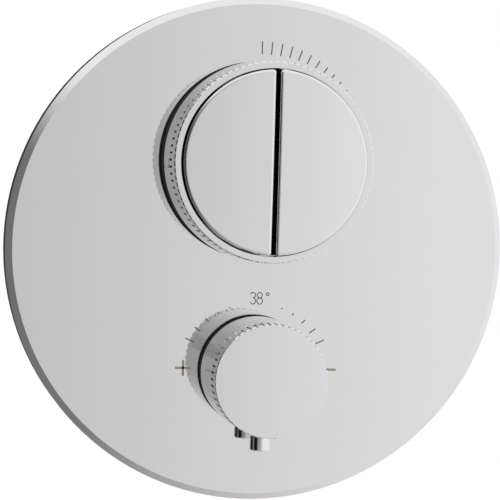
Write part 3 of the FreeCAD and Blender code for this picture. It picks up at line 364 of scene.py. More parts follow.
def moulded_finish(paint, place, colour, roughness, grain, specks=0.0, gloss=0.5):
    """Moulded plastic or rubber with a fine grain and, where asked, paler fibres."""
    broad = paint.noise(place, 60.0, 3.0)
    fine = paint.noise(place, grain, 2.0, 0.6)
    fibres = paint.cells(place, grain * 0.6).step(0.1, 0.5)
    base = paint.mix(broad, shade(colour, 0.85), shade(colour, 1.15))
    return {"Specular IOR Level": gloss}, {
        "Base Color": paint.mix(fibres * specks, base, shade(colour, 1.6)),
        "Roughness": roughness + broad * 0.12,
        "Normal": paint.bump(fine, 0.00004, 0.5),
    }


def cast_finish(paint, place, colour):
    """Sand-cast metal with a rough skin and small pits."""
    broad = paint.noise(place, 28.0, 4.0)
    sand = paint.noise(place, 900.0, 3.0, 0.7)
    pits = 1.0 - paint.cells(place, 520.0).step(0.0, 0.35)
    base = paint.mix(broad, shade(colour, 0.72), shade(colour, 1.18))
    return {"Metallic": 1.0}, {
        "Base Color": paint.mix(pits * 0.5, base, shade(colour, 0.45)),
        "Roughness": 0.42 + broad * 0.2 + pits * 0.15,
        "Normal": paint.bump(sand - pits * 0.6, 0.00016, 0.8),
    }


def turned_finish(paint, place, colour, roughness, pitch):
    """Bright metal with fine lathe lines square to the valve's axis."""
    depth = paint.axis(place, "Y")
    broad = paint.noise(place, 45.0, 3.0)
    lines = (depth * (2 * math.pi / pitch) + broad * 1.5).sine() * 0.5 + 0.5
    return {"Metallic": 1.0}, {
        "Base Color": paint.mix(broad, shade(colour, 0.88), shade(colour, 1.1)),
        "Roughness": roughness + broad * 0.1 + lines * 0.05,
        "Normal": paint.bump(lines, 0.000012, 0.6),
    }


def plated_finish(paint, place, colour, roughness):
    """Zinc-plated or blackened steel with a faint cloudy spangle."""
    spangle = paint.cells(place, 160.0, "Color")
    cloud = paint.noise(place, 70.0, 4.0)
    scratch = paint.noise(place, 1500.0, 2.0)
    base = paint.mix(cloud, shade(colour, 0.8), shade(colour, 1.12))
    return {"Metallic": 1.0}, {
        "Base Color": paint.mix(0.06, base, spangle),
        "Roughness": roughness + cloud * 0.18,
        "Normal": paint.bump(scratch, 0.000015, 0.5),
    }


def foam_finish(paint, place, colour):
    """Closed-cell foam, darker in its bubbles."""
    bubbles = paint.cells(place, 1400.0)
    broad = paint.noise(place, 80.0, 2.0)
    return {"Specular IOR Level": 0.25}, {
        "Base Color": paint.mix(bubbles.step(0.1, 0.6), shade(colour, 0.6), shade(colour, 1.4)),
        "Roughness": 0.82 + broad * 0.12,
        "Normal": paint.bump(bubbles, 0.00025, 0.8),
    }


def gauze_finish(paint, place, colour, pitch):
    """Woven wire gauze: two crossing sets of fine wires."""
    wire = 2 * math.pi / pitch
    along, height, across = (paint.axis(place, axis) for axis in ("X", "Z", "Y"))
    warp = (along * wire).sine()
    weft = ((height + across) * wire).sine()
    weave = abs(warp).larger(abs(weft))
    return {"Metallic": 1.0}, {
        "Base Color": paint.mix(weave, shade(colour, 0.12), colour),
        "Roughness": 0.5 - weave * 0.18,
        "Normal": paint.bump(weave, 0.00008, 0.9),
    }


def ink_finish(paint, place, colour):
    """Silk-screen ink, slightly uneven in cover."""
    cover = paint.noise(place, 900.0, 3.0)
    return {"Specular IOR Level": 0.3}, {
        "Base Color": paint.mix(cover, shade(colour, 0.85), shade(colour, 1.2)),
        "Roughness": 0.45 + cover * 0.2,
        "Normal": paint.bump(cover, 0.000004, 0.4),
    }


RECIPES = {
    "polished_chrome": (chrome_finish, {}),
    "dark_plastic": (moulded_finish, {"roughness": 0.5, "grain": 1600.0, "gloss": 0.08}),
    "grey_plastic": (moulded_finish, {"roughness": 0.46, "grain": 1200.0, "specks": 0.35}),
    "cast_brass": (cast_finish, {}),
    "turned_brass": (turned_finish, {"roughness": 0.2, "pitch": 0.45 * MILLIMETRE}),
    "steel": (plated_finish, {"roughness": 0.28}),
    "black_steel": (plated_finish, {"roughness": 0.42}),
    "spring_steel": (turned_finish, {"roughness": 0.24, "pitch": 0.3 * MILLIMETRE}),
    "black_rubber": (moulded_finish, {"roughness": 0.7, "grain": 2200.0, "gloss": 0.0}),
    "foam": (foam_finish, {}),
    "filter_mesh": (gauze_finish, {"pitch": 0.55 * MILLIMETRE}),
    "printed_ink": (ink_finish, {}),
    "tan_ink": (ink_finish, {}),
}


def make_finish(name, colour):
    """The named material in a colour, made by its recipe."""
    material, paint = new_material(name)
    recipe, details = RECIPES[name]
    paint.principled(*recipe(paint, paint.place(), colour, **details))
    return material


# ---------------- mesh helpers

def add_piece(mesh, name, body, slot, material=None):
    """Puts a finished mesh into the scene on its body; its slot's finish unless told."""
    mesh.materials.clear()
    mesh.materials.append(material or bpy.data.materials[slot])
    piece = bpy.data.objects.new(name, mesh)
    bpy.context.scene.collection.objects.link(piece)
    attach(piece, body)
    return piece


def crisp(mesh, angle=28.0):
    """Smooth shading that keeps edges over the angle sharp."""
    mesh.shade_smooth()
    mesh.set_sharp_from_angle(angle=math.radians(angle))


class Shaping(Tree):
    """A Geometry Nodes tree with named inputs."""

    KINDS = {float: "NodeSocketFloat", int: "NodeSocketInt"}

    def __init__(self, name, **defaults):
        group = bpy.data.node_groups.new(name, "GeometryNodeTree")
        super().__init__(group)
        group.interface.new_socket("Geometry", in_out="INPUT", socket_type="NodeSocketGeometry")
        group.interface.new_socket("Geometry", in_out="OUTPUT", socket_type="NodeSocketGeometry")
        for key, value in defaults.items():
            made = group.interface.new_socket(key, in_out="INPUT",
                                              socket_type=self.KINDS[type(value)])
            made.default_value = value
        group.interface.new_socket("Finish", in_out="INPUT", socket_type="NodeSocketMaterial")
        self.entry = group.nodes.new("NodeGroupInput")

    def given(self, key):
        return Signal(self, self.entry.outputs[key])

    def finish(self, geometry):
        """Ends the tree: copies made real, material set."""
        real = self.node("GeometryNodeRealizeInstances", None, {"Geometry": geometry})
        dressed = self.node("GeometryNodeSetMaterial", None,
                            {"Geometry": real, "Material": self.given("Finish")})
        leave = self.tree.nodes.new("NodeGroupOutput")
        self.tree.links.new(dressed.socket, leave.inputs["Geometry"])

    def joined(self, *parts):
        """Several geometries as one."""
        together = self.node("GeometryNodeJoinGeometry")
        for part in parts:
            self.tree.links.new(part.socket, together.socket.node.inputs["Geometry"])
        return together

    def apply(self, data, material, **values):
        """Runs the tree on a mesh or curve and returns the plain mesh it makes."""
        carrier = bpy.data.objects.new(self.tree.name, data)
        bpy.context.scene.collection.objects.link(carrier)
        modifier = carrier.modifiers.new(self.tree.name, "NODES")
        modifier.node_group = self.tree
        values["Finish"] = material
        for item in self.tree.interface.items_tree:
            if item.in_out == "INPUT" and item.name in values:
                modifier[item.identifier] = values[item.name]
        bpy.context.view_layer.update()
        graph = bpy.context.evaluated_depsgraph_get()
        mesh = bpy.data.meshes.new_from_object(carrier.evaluated_get(graph))
        carrier.modifiers.remove(modifier)
        bpy.data.objects.remove(carrier)
        return mesh


def thread_ridge():
    """Helical ridge round the Z axis, added to the geometry that comes in."""
    shaping = Shaping("thread_ridge", Radius=0.009, Pitch=0.0018, Start=0.0, Length=0.012,
                      Ridge=0.0007, Steps=40)
    given = shaping.given
    spiral = shaping.node("GeometryNodeCurveSpiral", None, {
        "Resolution": given("Steps"), "Rotations": given("Length") / given("Pitch"),
        "Start Radius": given("Radius"), "End Radius": given("Radius"),
        "Height": given("Length")})
    level = shaping.node("GeometryNodeSetCurveNormal", {"mode": "Z_UP"}, {"Curve": spiral})
    flank = given("Pitch") * 0.42
    section = shaping.node("GeometryNodeCurvePrimitiveQuadrilateral", {"mode": "KITE"}, {
        "Width": given("Ridge") * 2.0, "Bottom Height": flank, "Top Height": flank})
    ridge = shaping.node("GeometryNodeCurveToMesh", None, {
        "Curve": level, "Profile Curve": section, "Fill Caps": True})
    place = shaping.node("ShaderNodeCombineXYZ", None, {"Z": given("Start")})
    moved = shaping.node("GeometryNodeTransform", None, {
        "Geometry": ridge, "Translation": place})
    shaping.finish(shaping.joined(given("Geometry"), moved))
    return shaping


def screws_on_posts():
    """Up to two rows of two copies of a screw along Z, each copy turned about X."""
    shaping = Shaping("screws_on_posts", Count=4, Upper=0.05, Lower=0.03, Drop=0.09,
                      Turn=math.pi / 2)
    given = shaping.given
    index = shaping.node("GeometryNodeInputIndex")
    row = index.reckon("FLOOR", index / 2.0)
    side = (index - row * 2.0) * 2.0 - 1.0
    place = shaping.node("ShaderNodeCombineXYZ", None, {
        "X": side * (given("Upper") + (given("Lower") - given("Upper")) * row),
        "Z": 0.0 - row * given("Drop")})
    points = shaping.node("GeometryNodePoints", None,
                          {"Count": given("Count"), "Position": place})
    turn = shaping.node("ShaderNodeCombineXYZ", None, {"X": given("Turn")})
    shaping.finish(shaping.node("GeometryNodeInstanceOnPoints", None, {
        "Points": points, "Instance": given("Geometry"), "Rotation": turn}))
    return shaping


def fan_of_ticks():
    """Ticks on an arc round the Y axis, their lengths running from long to short."""
    shaping = Shaping("fan_of_ticks", Count=11, Start=0.0, Pitch=0.087, Radius=0.05,
                      Length=0.005, Power=2.0, Shortest=0.0005, Hold=0.0, Stroke=0.0004,
                      Depth=0.00003)
    given = shaping.given
    index = shaping.node("GeometryNodeInputIndex")
    share = index / (given("Count") - 1.0).larger(1.0)
    length = (given("Length") * (1.0 - share ** given("Power"))).larger(given("Shortest"))
    angle = given("Start") + given("Pitch") * index
    reach = given("Radius") + given("Hold") * length / 2.0
    place = shaping.node("ShaderNodeCombineXYZ", None,
                         {"X": reach * angle.sine(),
                          "Z": reach * angle.reckon("COSINE", angle)})
    points = shaping.node("GeometryNodePoints", None,
                          {"Count": given("Count"), "Position": place})
    bar = shaping.node("GeometryNodeMeshCube")
    size = shaping.node("ShaderNodeCombineXYZ", None,
                        {"X": given("Stroke"), "Y": given("Depth"), "Z": length})
    turn = shaping.node("ShaderNodeCombineXYZ", None, {"Y": angle})
    shaping.finish(shaping.node("GeometryNodeInstanceOnPoints", None,
                                {"Points": points, "Instance": bar, "Rotation": turn,
                                 "Scale": size}))
    return shaping


def printed_strokes():
    """Flat strokes along drawn lines, with closed ends."""
    shaping = Shaping("printed_strokes", Stroke=0.0004, Depth=0.00003)
    given = shaping.given
    level = shaping.node("GeometryNodeSetCurveNormal", {"mode": "Z_UP"},
                         {"Curve": given("Geometry")})
    section = shaping.node("GeometryNodeCurvePrimitiveQuadrilateral", None,
                           {"Width": given("Stroke"), "Height": given("Depth")})
    shaping.finish(shaping.node("GeometryNodeCurveToMesh", None,
                                {"Curve": level, "Profile Curve": section,
                                 "Fill Caps": True}))
    return shaping


def full_turn(steps):
    """Evenly spaced angles of one full turn."""
    return [2 * math.pi * step / steps for step in range(steps)]


def band(shape, first, second):
    """A closed band of four-sided faces between two loops of points."""
    for place in range(len(first)):
        after = (place + 1) % len(first)
        shape.faces.new((first[place], first[after], second[after], second[place]))


def mesh_of(shape, name, closed=True):
    """The mesh of a drawn shape; the faces of a closed one are turned outwards."""
    if closed:
        bmesh.ops.recalc_face_normals(shape, faces=shape.faces)
    mesh = bpy.data.meshes.new(name)
    shape.to_mesh(mesh)
    shape.free()
    return mesh


def screw_blank(shank, head, head_depth, length):
    """Cross-recessed pan head on a plain core: head's face at z = 0, tip at minus length."""
    arm, root = head * 0.56, head * 0.13    # half the length and width of the cross's arms
    turns = full_turn(32)

    def cross(turn):
        """Distance from the axis to the edge of the cross recess."""
        folded = abs((turn + math.pi / 4) % (math.pi / 2) - math.pi / 4)
        return min(arm / math.cos(folded), root / max(math.sin(folded), 0.01))

    # Loops of (depth, radius): the recess's floor and edge, then the head, the core, the tip.
    rows = [[(0.55 * head_depth, 0.5 * cross(turn)) for turn in turns],
            [(0.02 * head_depth, cross(turn)) for turn in turns]]
    rows += [[(depth, radius)] * len(turns) for depth, radius in (
        (0.0, head * 0.62), (0.1 * head_depth, head * 0.84), (0.3 * head_depth, head * 0.96),
        (0.5 * head_depth, head), (head_depth, head), (head_depth, shank),
        (length - shank * 0.5, shank), (length, shank * 0.55))]
    shape = bmesh.new()
    grid = [[shape.verts.new((radius * math.cos(turn), radius * math.sin(turn), -depth))
             for turn, (depth, radius) in zip(turns, row)] for row in rows]
    for first, second in zip(grid, grid[1:]):
        band(shape, first, second)
    shape.faces.new(grid[0])
    shape.faces.new(grid[-1])
    return mesh_of(shape, "screw_blank")


def turned_ring(outline, centre):
    """A closed outline of (radius, y) points turned once round a line along Y."""
    shape = bmesh.new()
    grid = [[shape.verts.new((centre[0] + radius * math.cos(turn), y,
                              centre[1] + radius * math.sin(turn))) for radius, y in outline]
            for turn in full_turn(192)]
    for first, second in zip(grid, grid[1:] + grid[:1]):
        band(shape, first, second)
    mesh = mesh_of(shape, "turned_ring")
    crisp(mesh)
    return mesh


def outward(mesh):
    """Turns every face of a closed mesh to look outwards."""
    shape = bmesh.new()
    shape.from_mesh(mesh)
    bmesh.ops.recalc_face_normals(shape, faces=shape.faces)
    shape.to_mesh(mesh)
    shape.free()


def seamless_copy(node, name, angle):
    """A copy of a solid's mesh, its loose triangles merged and crisp over the angle."""
    shape = bmesh.new()
    shape.from_mesh(frame["nodes"][node].data)
    bmesh.ops.remove_doubles(shape, verts=shape.verts, dist=0.0001 * MILLIMETRE)
    mesh = mesh_of(shape, name)
    crisp(mesh, angle)
    return mesh


def print_on_plate(mesh, name, centre, ink):
    """Sets a flat mesh, drawn round the Y axis, on the wall plate's face as a piece."""
    depth = bpy.context.scene.valve_scales.print_depth
    mesh.transform(Matrix.Translation((centre[0], PLATE_FACE - depth / 2, centre[1])))
    outward(mesh)
    add_piece(mesh, name, "fixed", "polished_chrome", ink)


def drawn_lines(name, strokes):
    """A curve of straight-edged strokes in the XY plane; each is (points, closed)."""
    curve = bpy.data.curves.new(name, "CURVE")
    curve.dimensions = "3D"
    for points, closed in strokes:
        spline = curve.splines.new("POLY")
        spline.points.add(len(points) - 1)
        for target, (x, y) in zip(spline.points, points):
            target.co = (x, y, 0.0, 1.0)
        spline.use_cyclic_u = closed
    return curve


def arc(centre, radii, start=0, end=345, steps=23):
    """Points of an elliptical arc, angles in degrees from +X; as given, a loop to close."""
    turns = [math.radians(start + (end - start) * step / steps) for step in range(steps + 1)]
    return [(centre[0] + radii[0] * math.cos(turn), centre[1] + radii[1] * math.sin(turn))
            for turn in turns]


def figure_strokes(tall):
    """Thin figures 3, 8 and a degree ring, as wide apart as on the plate."""
    # Half height of the upper and lower bowls, and half width of the lower ones.
    upper, lower, wide = tall * 0.235, tall * 0.265, tall * 0.24
    # Middles along the line, and the degree ring's radius. Upper bowls are a bit narrower.
    three_x, eight_x, ring_x, ring_radius = -tall * 0.285, tall * 0.315, tall, tall * 0.12
    top, base = tall / 2 - upper, -tall / 2 + lower
    three = (arc((three_x, top), (wide * 0.92, upper), 160, -90, 20)
             + arc((three_x, base), (wide, lower), 90, -160, 24))
    eight_top = arc((eight_x, top), (wide * 0.88, upper))
    eight_base = arc((eight_x, base), (wide, lower))
    ring = arc((ring_x, tall / 2 - tall * 0.13), (ring_radius, ring_radius))
    return [(three, False), (eight_top, True), (eight_base, True), (ring, True)]


# ---------------- operators

class VALVE_OT_shade_wipers(bpy.types.Operator):
    """Fills the gaps behind the ring and the knob with ribbed black rubber wipers, which are also
    painted shade of those gaps
    """
    bl_idname = "valve.wipers"
    bl_label = "Shade Wipers"

    def execute(self, context):
        trim = context.scene.valve_trim
        for name, (low, high), centre, neck in (
                ("flow_wiper", (RING_LOW, RING_HIGH), FLOW_CENTRE, trim.flow_neck),
                ("knob_wiper", (KNOB_LOW, KNOB_HIGH), KNOB_CENTRE, trim.knob_neck)):
            rim = (high.x - low.x) / 2 - trim.inset
            valley = rim - trim.root
            front, back = high.y + trim.play, PLATE_FACE
            lips = round((back - front) / trim.lip_pitch)
            pitch = (back - front) / lips
            outline = [(neck, back), (neck, front)]
            for lip in range(lips):
                start = front + pitch * lip
                outline += [(valley, start), (rim, start + pitch * LIP_RISE),
                            (rim, start + pitch * LIP_CREST), (valley, start + pitch * LIP_FALL)]
            outline.append((valley, back))
            # Black rubber rings that are also painted shade: they fill the dark gaps behind the
            # controls.
            add_piece(turned_ring(outline, centre), name, "fixed", "black_rubber")
        return {"FINISHED"}


class VALVE_OT_mouth_bead(bpy.types.Operator):
    """Rolls a fine bead round the flow ring's mouth"""
    bl_idname = "valve.mouth_bead"
    bl_label = "Mouth Bead"

    def execute(self, context):
        trim = context.scene.valve_trim
        front, size = RING_LOW.y, trim.bead
        flat, curve, steps = 0.35, 0.65, 6    # shares of the bead's width, steps of its curve
        outline = [(trim.mouth, front), (trim.mouth - size * flat, front)]
        for step in range(1, steps + 1):
            turn = math.pi / 2 * step / steps
            outline.append((trim.mouth - size * (flat + curve * math.sin(turn)),
                            front + size * curve * (1 - math.cos(turn))))
        outline += [(trim.mouth - size, front + size * 1.5), (trim.mouth, front + size * 2)]
        add_piece(turned_ring(outline, FLOW_CENTRE), "mouth_bead", "flow_ring",
                  "polished_chrome")
        return {"FINISHED"}


class VALVE_OT_knob_shell(bpy.types.Operator):
    """Puts a seamless shell in place of the knob, so its dome mirrors without a spot"""
    bl_idname = "valve.knob_shell"
    bl_label = "Knob Shell"

    def execute(self, context):
        mesh = seamless_copy("temperature_knob", "knob_shell", 8.0)
        # Corners of the dome: they face the front and lie close to its middle's depth.
        places = {corner: mesh.vertices[mesh.loops[corner].vertex_index].co
                  for face in mesh.polygons
                  if face.normal.y < -0.999 and face.center.y < KNOB_LOW.y + 0.5 * MILLIMETRE
                  for corner in face.loop_indices}
        # The dome is taken as a parabola that falls back by rise within reach of its middle.
        middle = Vector((KNOB_CENTRE[0], KNOB_LOW.y, KNOB_CENTRE[1]))
        rise, reach = max((place.y - middle.y, (place - middle).length)
                          for place in places.values())
        normals = [Vector(corner.vector) for corner in mesh.corner_normals]
        for corner, place in places.items():
            slope = (place - middle) * (2 * rise / reach ** 2)
            normals[corner] = Vector((slope.x, -1.0, slope.z)).normalized()
        mesh.normals_split_custom_set(normals)
        shell = add_piece(mesh, "knob_shell", "knob", "polished_chrome")
        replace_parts(shell, "temperature_knob")
        return {"FINISHED"}


class VALVE_OT_override_coil(bpy.types.Operator):
    """Puts a seamless copy of the override spring on the knob, in place of the solid one"""
    bl_idname = "valve.override_coil"
    bl_label = "Override Coil"

    def execute(self, context):
        low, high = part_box("override_spring")
        travel = next(max(joint["range_m"]) for joint in frame["record"]["behaviour"]["joints"]
                      if joint["name"] == "override_press")
        mesh = seamless_copy("override_spring", "override_coil", 40.0)
        coil = add_piece(mesh, "override_coil", "knob", "spring_steel")
        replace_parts(coil, "override_spring")
        1 - travel / (high.z - low.z)
        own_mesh(coil)
        return {"FINISHED"}


class VALVE_OT_pipe_threads(bpy.types.Operator):
    """Adds the ridges of the pipe threads to the two inlets and the two outlets"""
    bl_idname = "valve.pipe_threads"
    bl_label = "Pipe Threads"

    def execute(self, context):
        threads = context.scene.valve_threads
        brass = bpy.data.materials["turned_brass"]
        tree = thread_ridge()
        for mount in frame["record"]["mounts"]:
            if mount["kind"] != "threaded_hole":
                continue
            radius, bore = (mount["dims"][key] * MILLIMETRE for key in ("r_mm", "length_mm"))
            run = bore - threads.pipe_pitch
            mesh = tree.apply(bpy.data.meshes.new("empty"), brass, Radius=radius,
                              Pitch=threads.pipe_pitch, Start=-run / 2, Length=run,
                              Ridge=threads.pipe_ridge)
            along = Vector(mount["axis"]).to_track_quat("Z", "Y").to_matrix().to_4x4()
            mesh.transform(Matrix.Translation(mount["pos_m"]) @ along)
            outward(mesh)
            crisp(mesh)
            add_piece(mesh, mount["name"] + "_thread", "fixed", "cast_brass", brass)
        return {"FINISHED"}


class VALVE_OT_screws(bpy.types.Operator):
    """Puts threaded, cross-recessed screws in place of the plain ones"""
    bl_idname = "valve.screws"
    bl_label = "Screws"

    def execute(self, context):
        threads = context.scene.valve_threads
        core = threads.shank_radius - threads.screw_ridge
        pitch = threads.screw_pitch
        thread, posts = thread_ridge(), screws_on_posts()
        square, single = (4, threads.upper_posts, threads.lower_posts), (1, 0.0, 0.0)
        for node, body, facing, centre, (count, upper, lower) in (
                ("bracket_screws", "fixed", 1, FLOW_CENTRE, square),
                ("frame_screws", "fixed", -1, FLOW_CENTRE, square),
                ("carrier_screw", "fixed", -1, FLOW_CENTRE, single),
                ("knob_screw", "knob", -1, KNOB_CENTRE, single)):
            low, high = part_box(node)
            length = high.y - low.y
            run = length - threads.head_depth - pitch
            slot = SLOT_OF_NODE[node]
            finish = bpy.data.materials[slot]
            blank = screw_blank(core, threads.head_radius, threads.head_depth, length)
            screw = thread.apply(blank, finish, Radius=core, Pitch=pitch, Length=run,
                                 Start=pitch / 2 - length, Ridge=threads.screw_ridge, Steps=16)
            mesh = posts.apply(screw, finish, Count=count, Upper=upper, Lower=lower,
                               Drop=FLOW_CENTRE[1] - KNOB_CENTRE[1],
                               Turn=-facing * math.pi / 2)
            mesh.transform(Matrix.Translation(
                (centre[0], high.y if facing > 0 else low.y, centre[1])))
            outward(mesh)
            crisp(mesh)
            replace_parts(add_piece(mesh, node + "_threaded", body, slot, finish), node)
        return {"FINISHED"}


class VALVE_OT_flow_scale(bpy.types.Operator):
    """Prints the fan of ticks on the upper right of the flow ring"""
    bl_idname = "valve.flow_scale"
    bl_label = "Flow Scale"

    def execute(self, context):
        scales = context.scene.valve_scales
        ink = bpy.data.materials["printed_ink"]
        mesh = fan_of_ticks().apply(
            bpy.data.meshes.new("empty"), ink, Count=scales.flow_marks,
            Start=scales.flow_start, Pitch=scales.flow_pitch, Radius=scales.flow_radius,
            Length=scales.flow_length, Stroke=scales.stroke, Depth=scales.print_depth)
        print_on_plate(mesh, "flow_scale", FLOW_CENTRE, ink)
        return {"FINISHED"}


class VALVE_OT_temperature_scale(bpy.types.Operator):
    """Prints the ticks, the 38 degree figure and the two signs round the knob"""
    bl_idname = "valve.temperature_scale"
    bl_label = "Temperature Scale"

    def execute(self, context):
        scales = context.scene.valve_scales
        ink = bpy.data.materials["printed_ink"]
        tan = bpy.data.materials["tan_ink"]
        ticks, strokes = fan_of_ticks(), printed_strokes()
        last = scales.warm_start + scales.warm_pitch * (scales.warm_marks - 1)
        for side, name in ((1, "warm_ticks_right"), (-1, "warm_ticks_left")):
            mesh = ticks.apply(
                bpy.data.meshes.new("empty"), ink, Count=scales.warm_marks,
                Start=side * last, Pitch=-side * scales.warm_pitch,
                Radius=scales.warm_radius, Hold=1.0, Length=scales.warm_length, Power=1.0,
                Shortest=scales.warm_shortest, Stroke=scales.stroke, Depth=scales.print_depth)
            print_on_plate(mesh, name, KNOB_CENTRE, ink)
        half = scales.sign_length / 2
        level, upright = ([(-half, 0), (half, 0)], False), ([(0, -half), (0, half)], False)
        for name, lines, finish, stroke, across, up in (
                ("figure_38", figure_strokes(scales.figure_height), ink,
                 scales.stroke * scales.figure_weight, 0, scales.figure_place),
                ("plus_sign", [level, upright], tan, scales.sign_stroke,
                 -scales.plus_place, scales.sign_lift),
                ("minus_sign", [level], tan, scales.sign_stroke,
                 scales.minus_place, scales.sign_lift)):
            mesh = strokes.apply(drawn_lines(name, lines), finish, Stroke=stroke,
                                 Depth=scales.print_depth)
            mesh.transform(Matrix.Rotation(math.pi / 2, 4, "X"))
            mesh.transform(Matrix.Translation((across, 0, up)))
            print_on_plate(mesh, name, KNOB_CENTRE, finish)
        return {"FINISHED"}


class VALVE_OT_finishes(bpy.types.Operator):
    """Gives every solid of the valve the finish of its material slot"""
    bl_idname = "valve.finishes"
    bl_label = "Finishes"

    def execute(self, context):
        colours = context.scene.valve_finishes
        finishes = {name: make_finish(name, getattr(colours, name)) for name in RECIPES}
        for node, slot in SLOT_OF_NODE.items():
            solid = frame["nodes"][node]
            solid.data.materials.clear()
            solid.data.materials.append(finishes[slot])
        return {"FINISHED"}


class VALVE_OT_stage(bpy.types.Operator):
    """Sets up the camera, the light tent, the floor and the lamps"""
    bl_idname = "valve.stage"
    bl_label = "Studio"

    def execute(self, context):
        studio = context.scene.valve_studio
        context.scene.view_settings.view_transform = "Standard"
        self.set_camera(context)
        self.set_world(context, studio.plain_level)
        self.build_tent(studio.tent_radius)
        self.build_flags(studio.flag_distance)
        self.build_floor(studio)
        self.build_lamps()
        return {"FINISHED"}

    @staticmethod
    def set_camera(context):
        view = context.scene.valve_camera
        camera = bpy.data.objects.new("camera", bpy.data.cameras.new("camera"))
        context.scene.collection.objects.link(camera)
        aim = Vector(view.aim).normalized()
        side = aim.cross(Vector(view.top)).normalized()
        turn = Matrix((side, side.cross(aim), -aim)).transposed()
        camera.matrix_world = Matrix.Translation(view.place) @ turn.to_4x4()
        camera.data.sensor_width = SENSOR_WIDTH
        camera.data.lens = view.lens
        context.scene.camera = camera

    @staticmethod
    def set_world(context, plain_level):
        """White where it is seen or mirrored, plainer where it only lights."""
        world = bpy.data.worlds.new("studio")
        world.use_nodes = True
        context.scene.world = world
        paint = Paint(world.node_tree)
        seen = paint.node("ShaderNodeLightPath", output="Is Camera Ray")
        mirrored = paint.node("ShaderNodeLightPath", output="Is Glossy Ray")
        through = paint.node("ShaderNodeLightPath", output="Is Transmission Ray")
        white = seen.larger(mirrored).larger(through)
        light = paint.node("ShaderNodeBackground", None,
                           {"Color": (1.0, 1.0, 1.0, 1.0),
                            "Strength": white * (1.0 - plain_level) + plain_level})
        paint.surface(light, "ShaderNodeOutputWorld")

    def build_tent(self, radius):
        """A light tent that only mirrors show: white above and right, dark left and behind."""
        material, paint = new_material("tent_cloth")
        point = paint.node("ShaderNodeVectorMath", {"operation": "NORMALIZE"},
                           {0: paint.place()})
        across, depth, height = (paint.axis(point, axis) for axis in ("X", "Y", "Z"))
        # Greys from the left, 0, to the right, 1.
        front, behind, below = (
            paint.node("ShaderNodeValToRGB", {"stops": stops}, {"Fac": across * 0.5 + 0.5})
            for stops in (
                [(0.0, 0.19), (0.1, 0.20), (0.25, 0.33), (0.4, 0.44), (0.44, 0.42),
                 (0.475, 0.50), (0.515, 0.62), (0.541, 0.69), (0.62, 0.895), (0.7, 0.98),
                 (1.0, 1.0)],
                [(0.0, 0.02), (0.55, 0.05), (0.8, 0.75), (1.0, 1.0)],
                [(0.0, 0.20), (0.2, 0.22), (0.5, 0.56), (0.75, 0.85), (1.0, 0.9)]))
        walls = paint.mix(depth.step(0.0, 0.3), front, behind)
        upper = paint.mix(height.step(0.35, 0.8), walls, (1.0, 1.0, 1.0))
        lower = paint.mix(height.step(-0.25, -0.55), upper, below)
        # One corner, on the left in front, is black.
        corner = across.step(-0.6, -0.7) * depth.step(-0.12, -0.22)
        light = paint.mix(corner, lower, (0.01, 0.01, 0.01))
        paint.surface(paint.node("ShaderNodeEmission", None,
                                 {"Color": light, "Strength": 1.0}))
        shape = bmesh.new()
        bmesh.ops.create_icosphere(shape, subdivisions=4, radius=radius)
        tent = self.add_stage(shape, "light_tent", material)
        self.only_mirrored(tent)

    @staticmethod
    def only_mirrored(made):
        for kind in ("camera", "diffuse", "transmission", "volume_scatter", "shadow"):
            setattr(made, f"visible_{kind}", False)

    def build_flags(self, distance):
        """Two narrow black flags beside the lens, whose mirror images darken the barrels."""
        material, paint = new_material("flag_cloth")
        weave = paint.noise(paint.place(), 400.0)
        paint.surface(paint.node("ShaderNodeEmission", None, {
            "Color": paint.mix(weave, (0.001, 0.001, 0.001), (0.004, 0.004, 0.005))}))
        # Right edges as (x, z) points from the top down; the left edge runs beside them.
        for name, width, edge in (
                ("knob_flag", 0.011, ((-0.199, 0.083), (-0.208, 0.071), (-0.2265, 0.045),
                                      (-0.234, 0.012), (-0.2385, -0.016))),
                ("mirror_flag", 0.014, ((-0.176, 0.064), (-0.184, 0.048), (-0.199, 0.010),
                                        (-0.207, -0.036)))):
            corners = edge + tuple((x - width, z) for x, z in reversed(edge))
            shape = bmesh.new()
            shape.faces.new([shape.verts.new((x, -distance, z)) for x, z in corners])
            self.only_mirrored(self.add_stage(shape, name, material))

    def build_floor(self, studio):
        material, paint = new_material("floor_paper")
        place = paint.place()
        grain = paint.noise(place, 6.0, 3.0)
        reach = paint.node("ShaderNodeVectorMath", {"operation": "LENGTH"}, {0: place},
                           "Value")
        paper = paint.node("ShaderNodeBsdfDiffuse", None,
                           {"Color": paint.mix(grain, shade(studio.floor_colour, 0.99),
                                               shade(studio.floor_colour, 1.01))})
        clear = paint.node("ShaderNodeBsdfTransparent")
        # The paper is whole up to 0.45 of its radius and gone at 0.98.
        paint.surface(paint.node("ShaderNodeMixShader", None, {
            0: reach.step(studio.floor_radius * 0.45, studio.floor_radius * 0.98),
            1: paper, 2: clear}))
        shape = bmesh.new()
        bmesh.ops.create_circle(shape, cap_ends=True, segments=96,
                                radius=studio.floor_radius)
        floor = self.add_stage(shape, "floor", material)
        floor.location.z = CAD_BOX[0].z - studio.floor_drop
        floor.visible_glossy = False

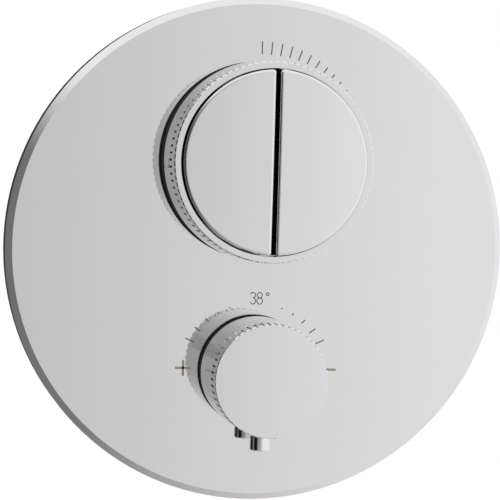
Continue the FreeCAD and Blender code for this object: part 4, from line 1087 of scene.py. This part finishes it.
    @staticmethod
    def add_stage(shape, name, material):
        mesh = mesh_of(shape, name, closed=False)
        mesh.materials.append(material)
        made = bpy.data.objects.new(name, mesh)
        bpy.context.scene.collection.objects.link(made)
        return made

    @staticmethod
    def build_lamps():
        for name, place, size, power in (
                ("key_lamp", (0.95, -1.6, 1.25), 0.9, 11.0),
                ("fill_lamp", (-1.5, -1.2, 0.7), 1.1, 5.0),
                ("rear_lamp", (0.4, 1.7, 1.3), 1.0, 7.0)):
            data = bpy.data.lights.new(name, "AREA")
            data.size = size
            data.energy = power
            lamp = bpy.data.objects.new(name, data)
            lamp.location = place
            lamp.rotation_euler = (-Vector(place)).to_track_quat("-Z", "Y").to_euler()
            lamp.visible_glossy = False
            bpy.context.scene.collection.objects.link(lamp)


class VALVE_PT_panel(bpy.types.Panel):
    """Steps that dress the valve, in the order they are run"""
    bl_label = "Shower Valve"
    bl_space_type = "VIEW_3D"
    bl_region_type = "UI"
    bl_category = "Shower Valve"

    def draw(self, context):
        for step in STEPS:
            self.layout.operator(step.bl_idname)


GROUPS = {"valve_camera": ValveCamera, "valve_studio": ValveStudio,
          "valve_finishes": ValveFinishes, "valve_threads": ValveThreads, "valve_trim": ValveTrim,
          "valve_scales": ValveScales}
STEPS = (VALVE_OT_stage, VALVE_OT_finishes, VALVE_OT_flow_scale,
         VALVE_OT_temperature_scale, VALVE_OT_shade_wipers, VALVE_OT_mouth_bead,
         VALVE_OT_knob_shell, VALVE_OT_override_coil, VALVE_OT_pipe_threads,
         VALVE_OT_screws)


def register():
    for group in (*GROUPS.values(), *STEPS, VALVE_PT_panel):
        bpy.utils.register_class(group)
    for name, group in GROUPS.items():
        setattr(bpy.types.Scene, name, PointerProperty(type=group))


def unregister():
    for name in GROUPS:
        delattr(bpy.types.Scene, name)
    for group in (VALVE_PT_panel, *reversed(STEPS), *GROUPS.values()):
        bpy.utils.unregister_class(group)


def main():
    register()
    for step in STEPS:
        family, action = step.bl_idname.split(".")
        getattr(getattr(bpy.ops, family), action)()


if __name__ == "__main__":
    main()
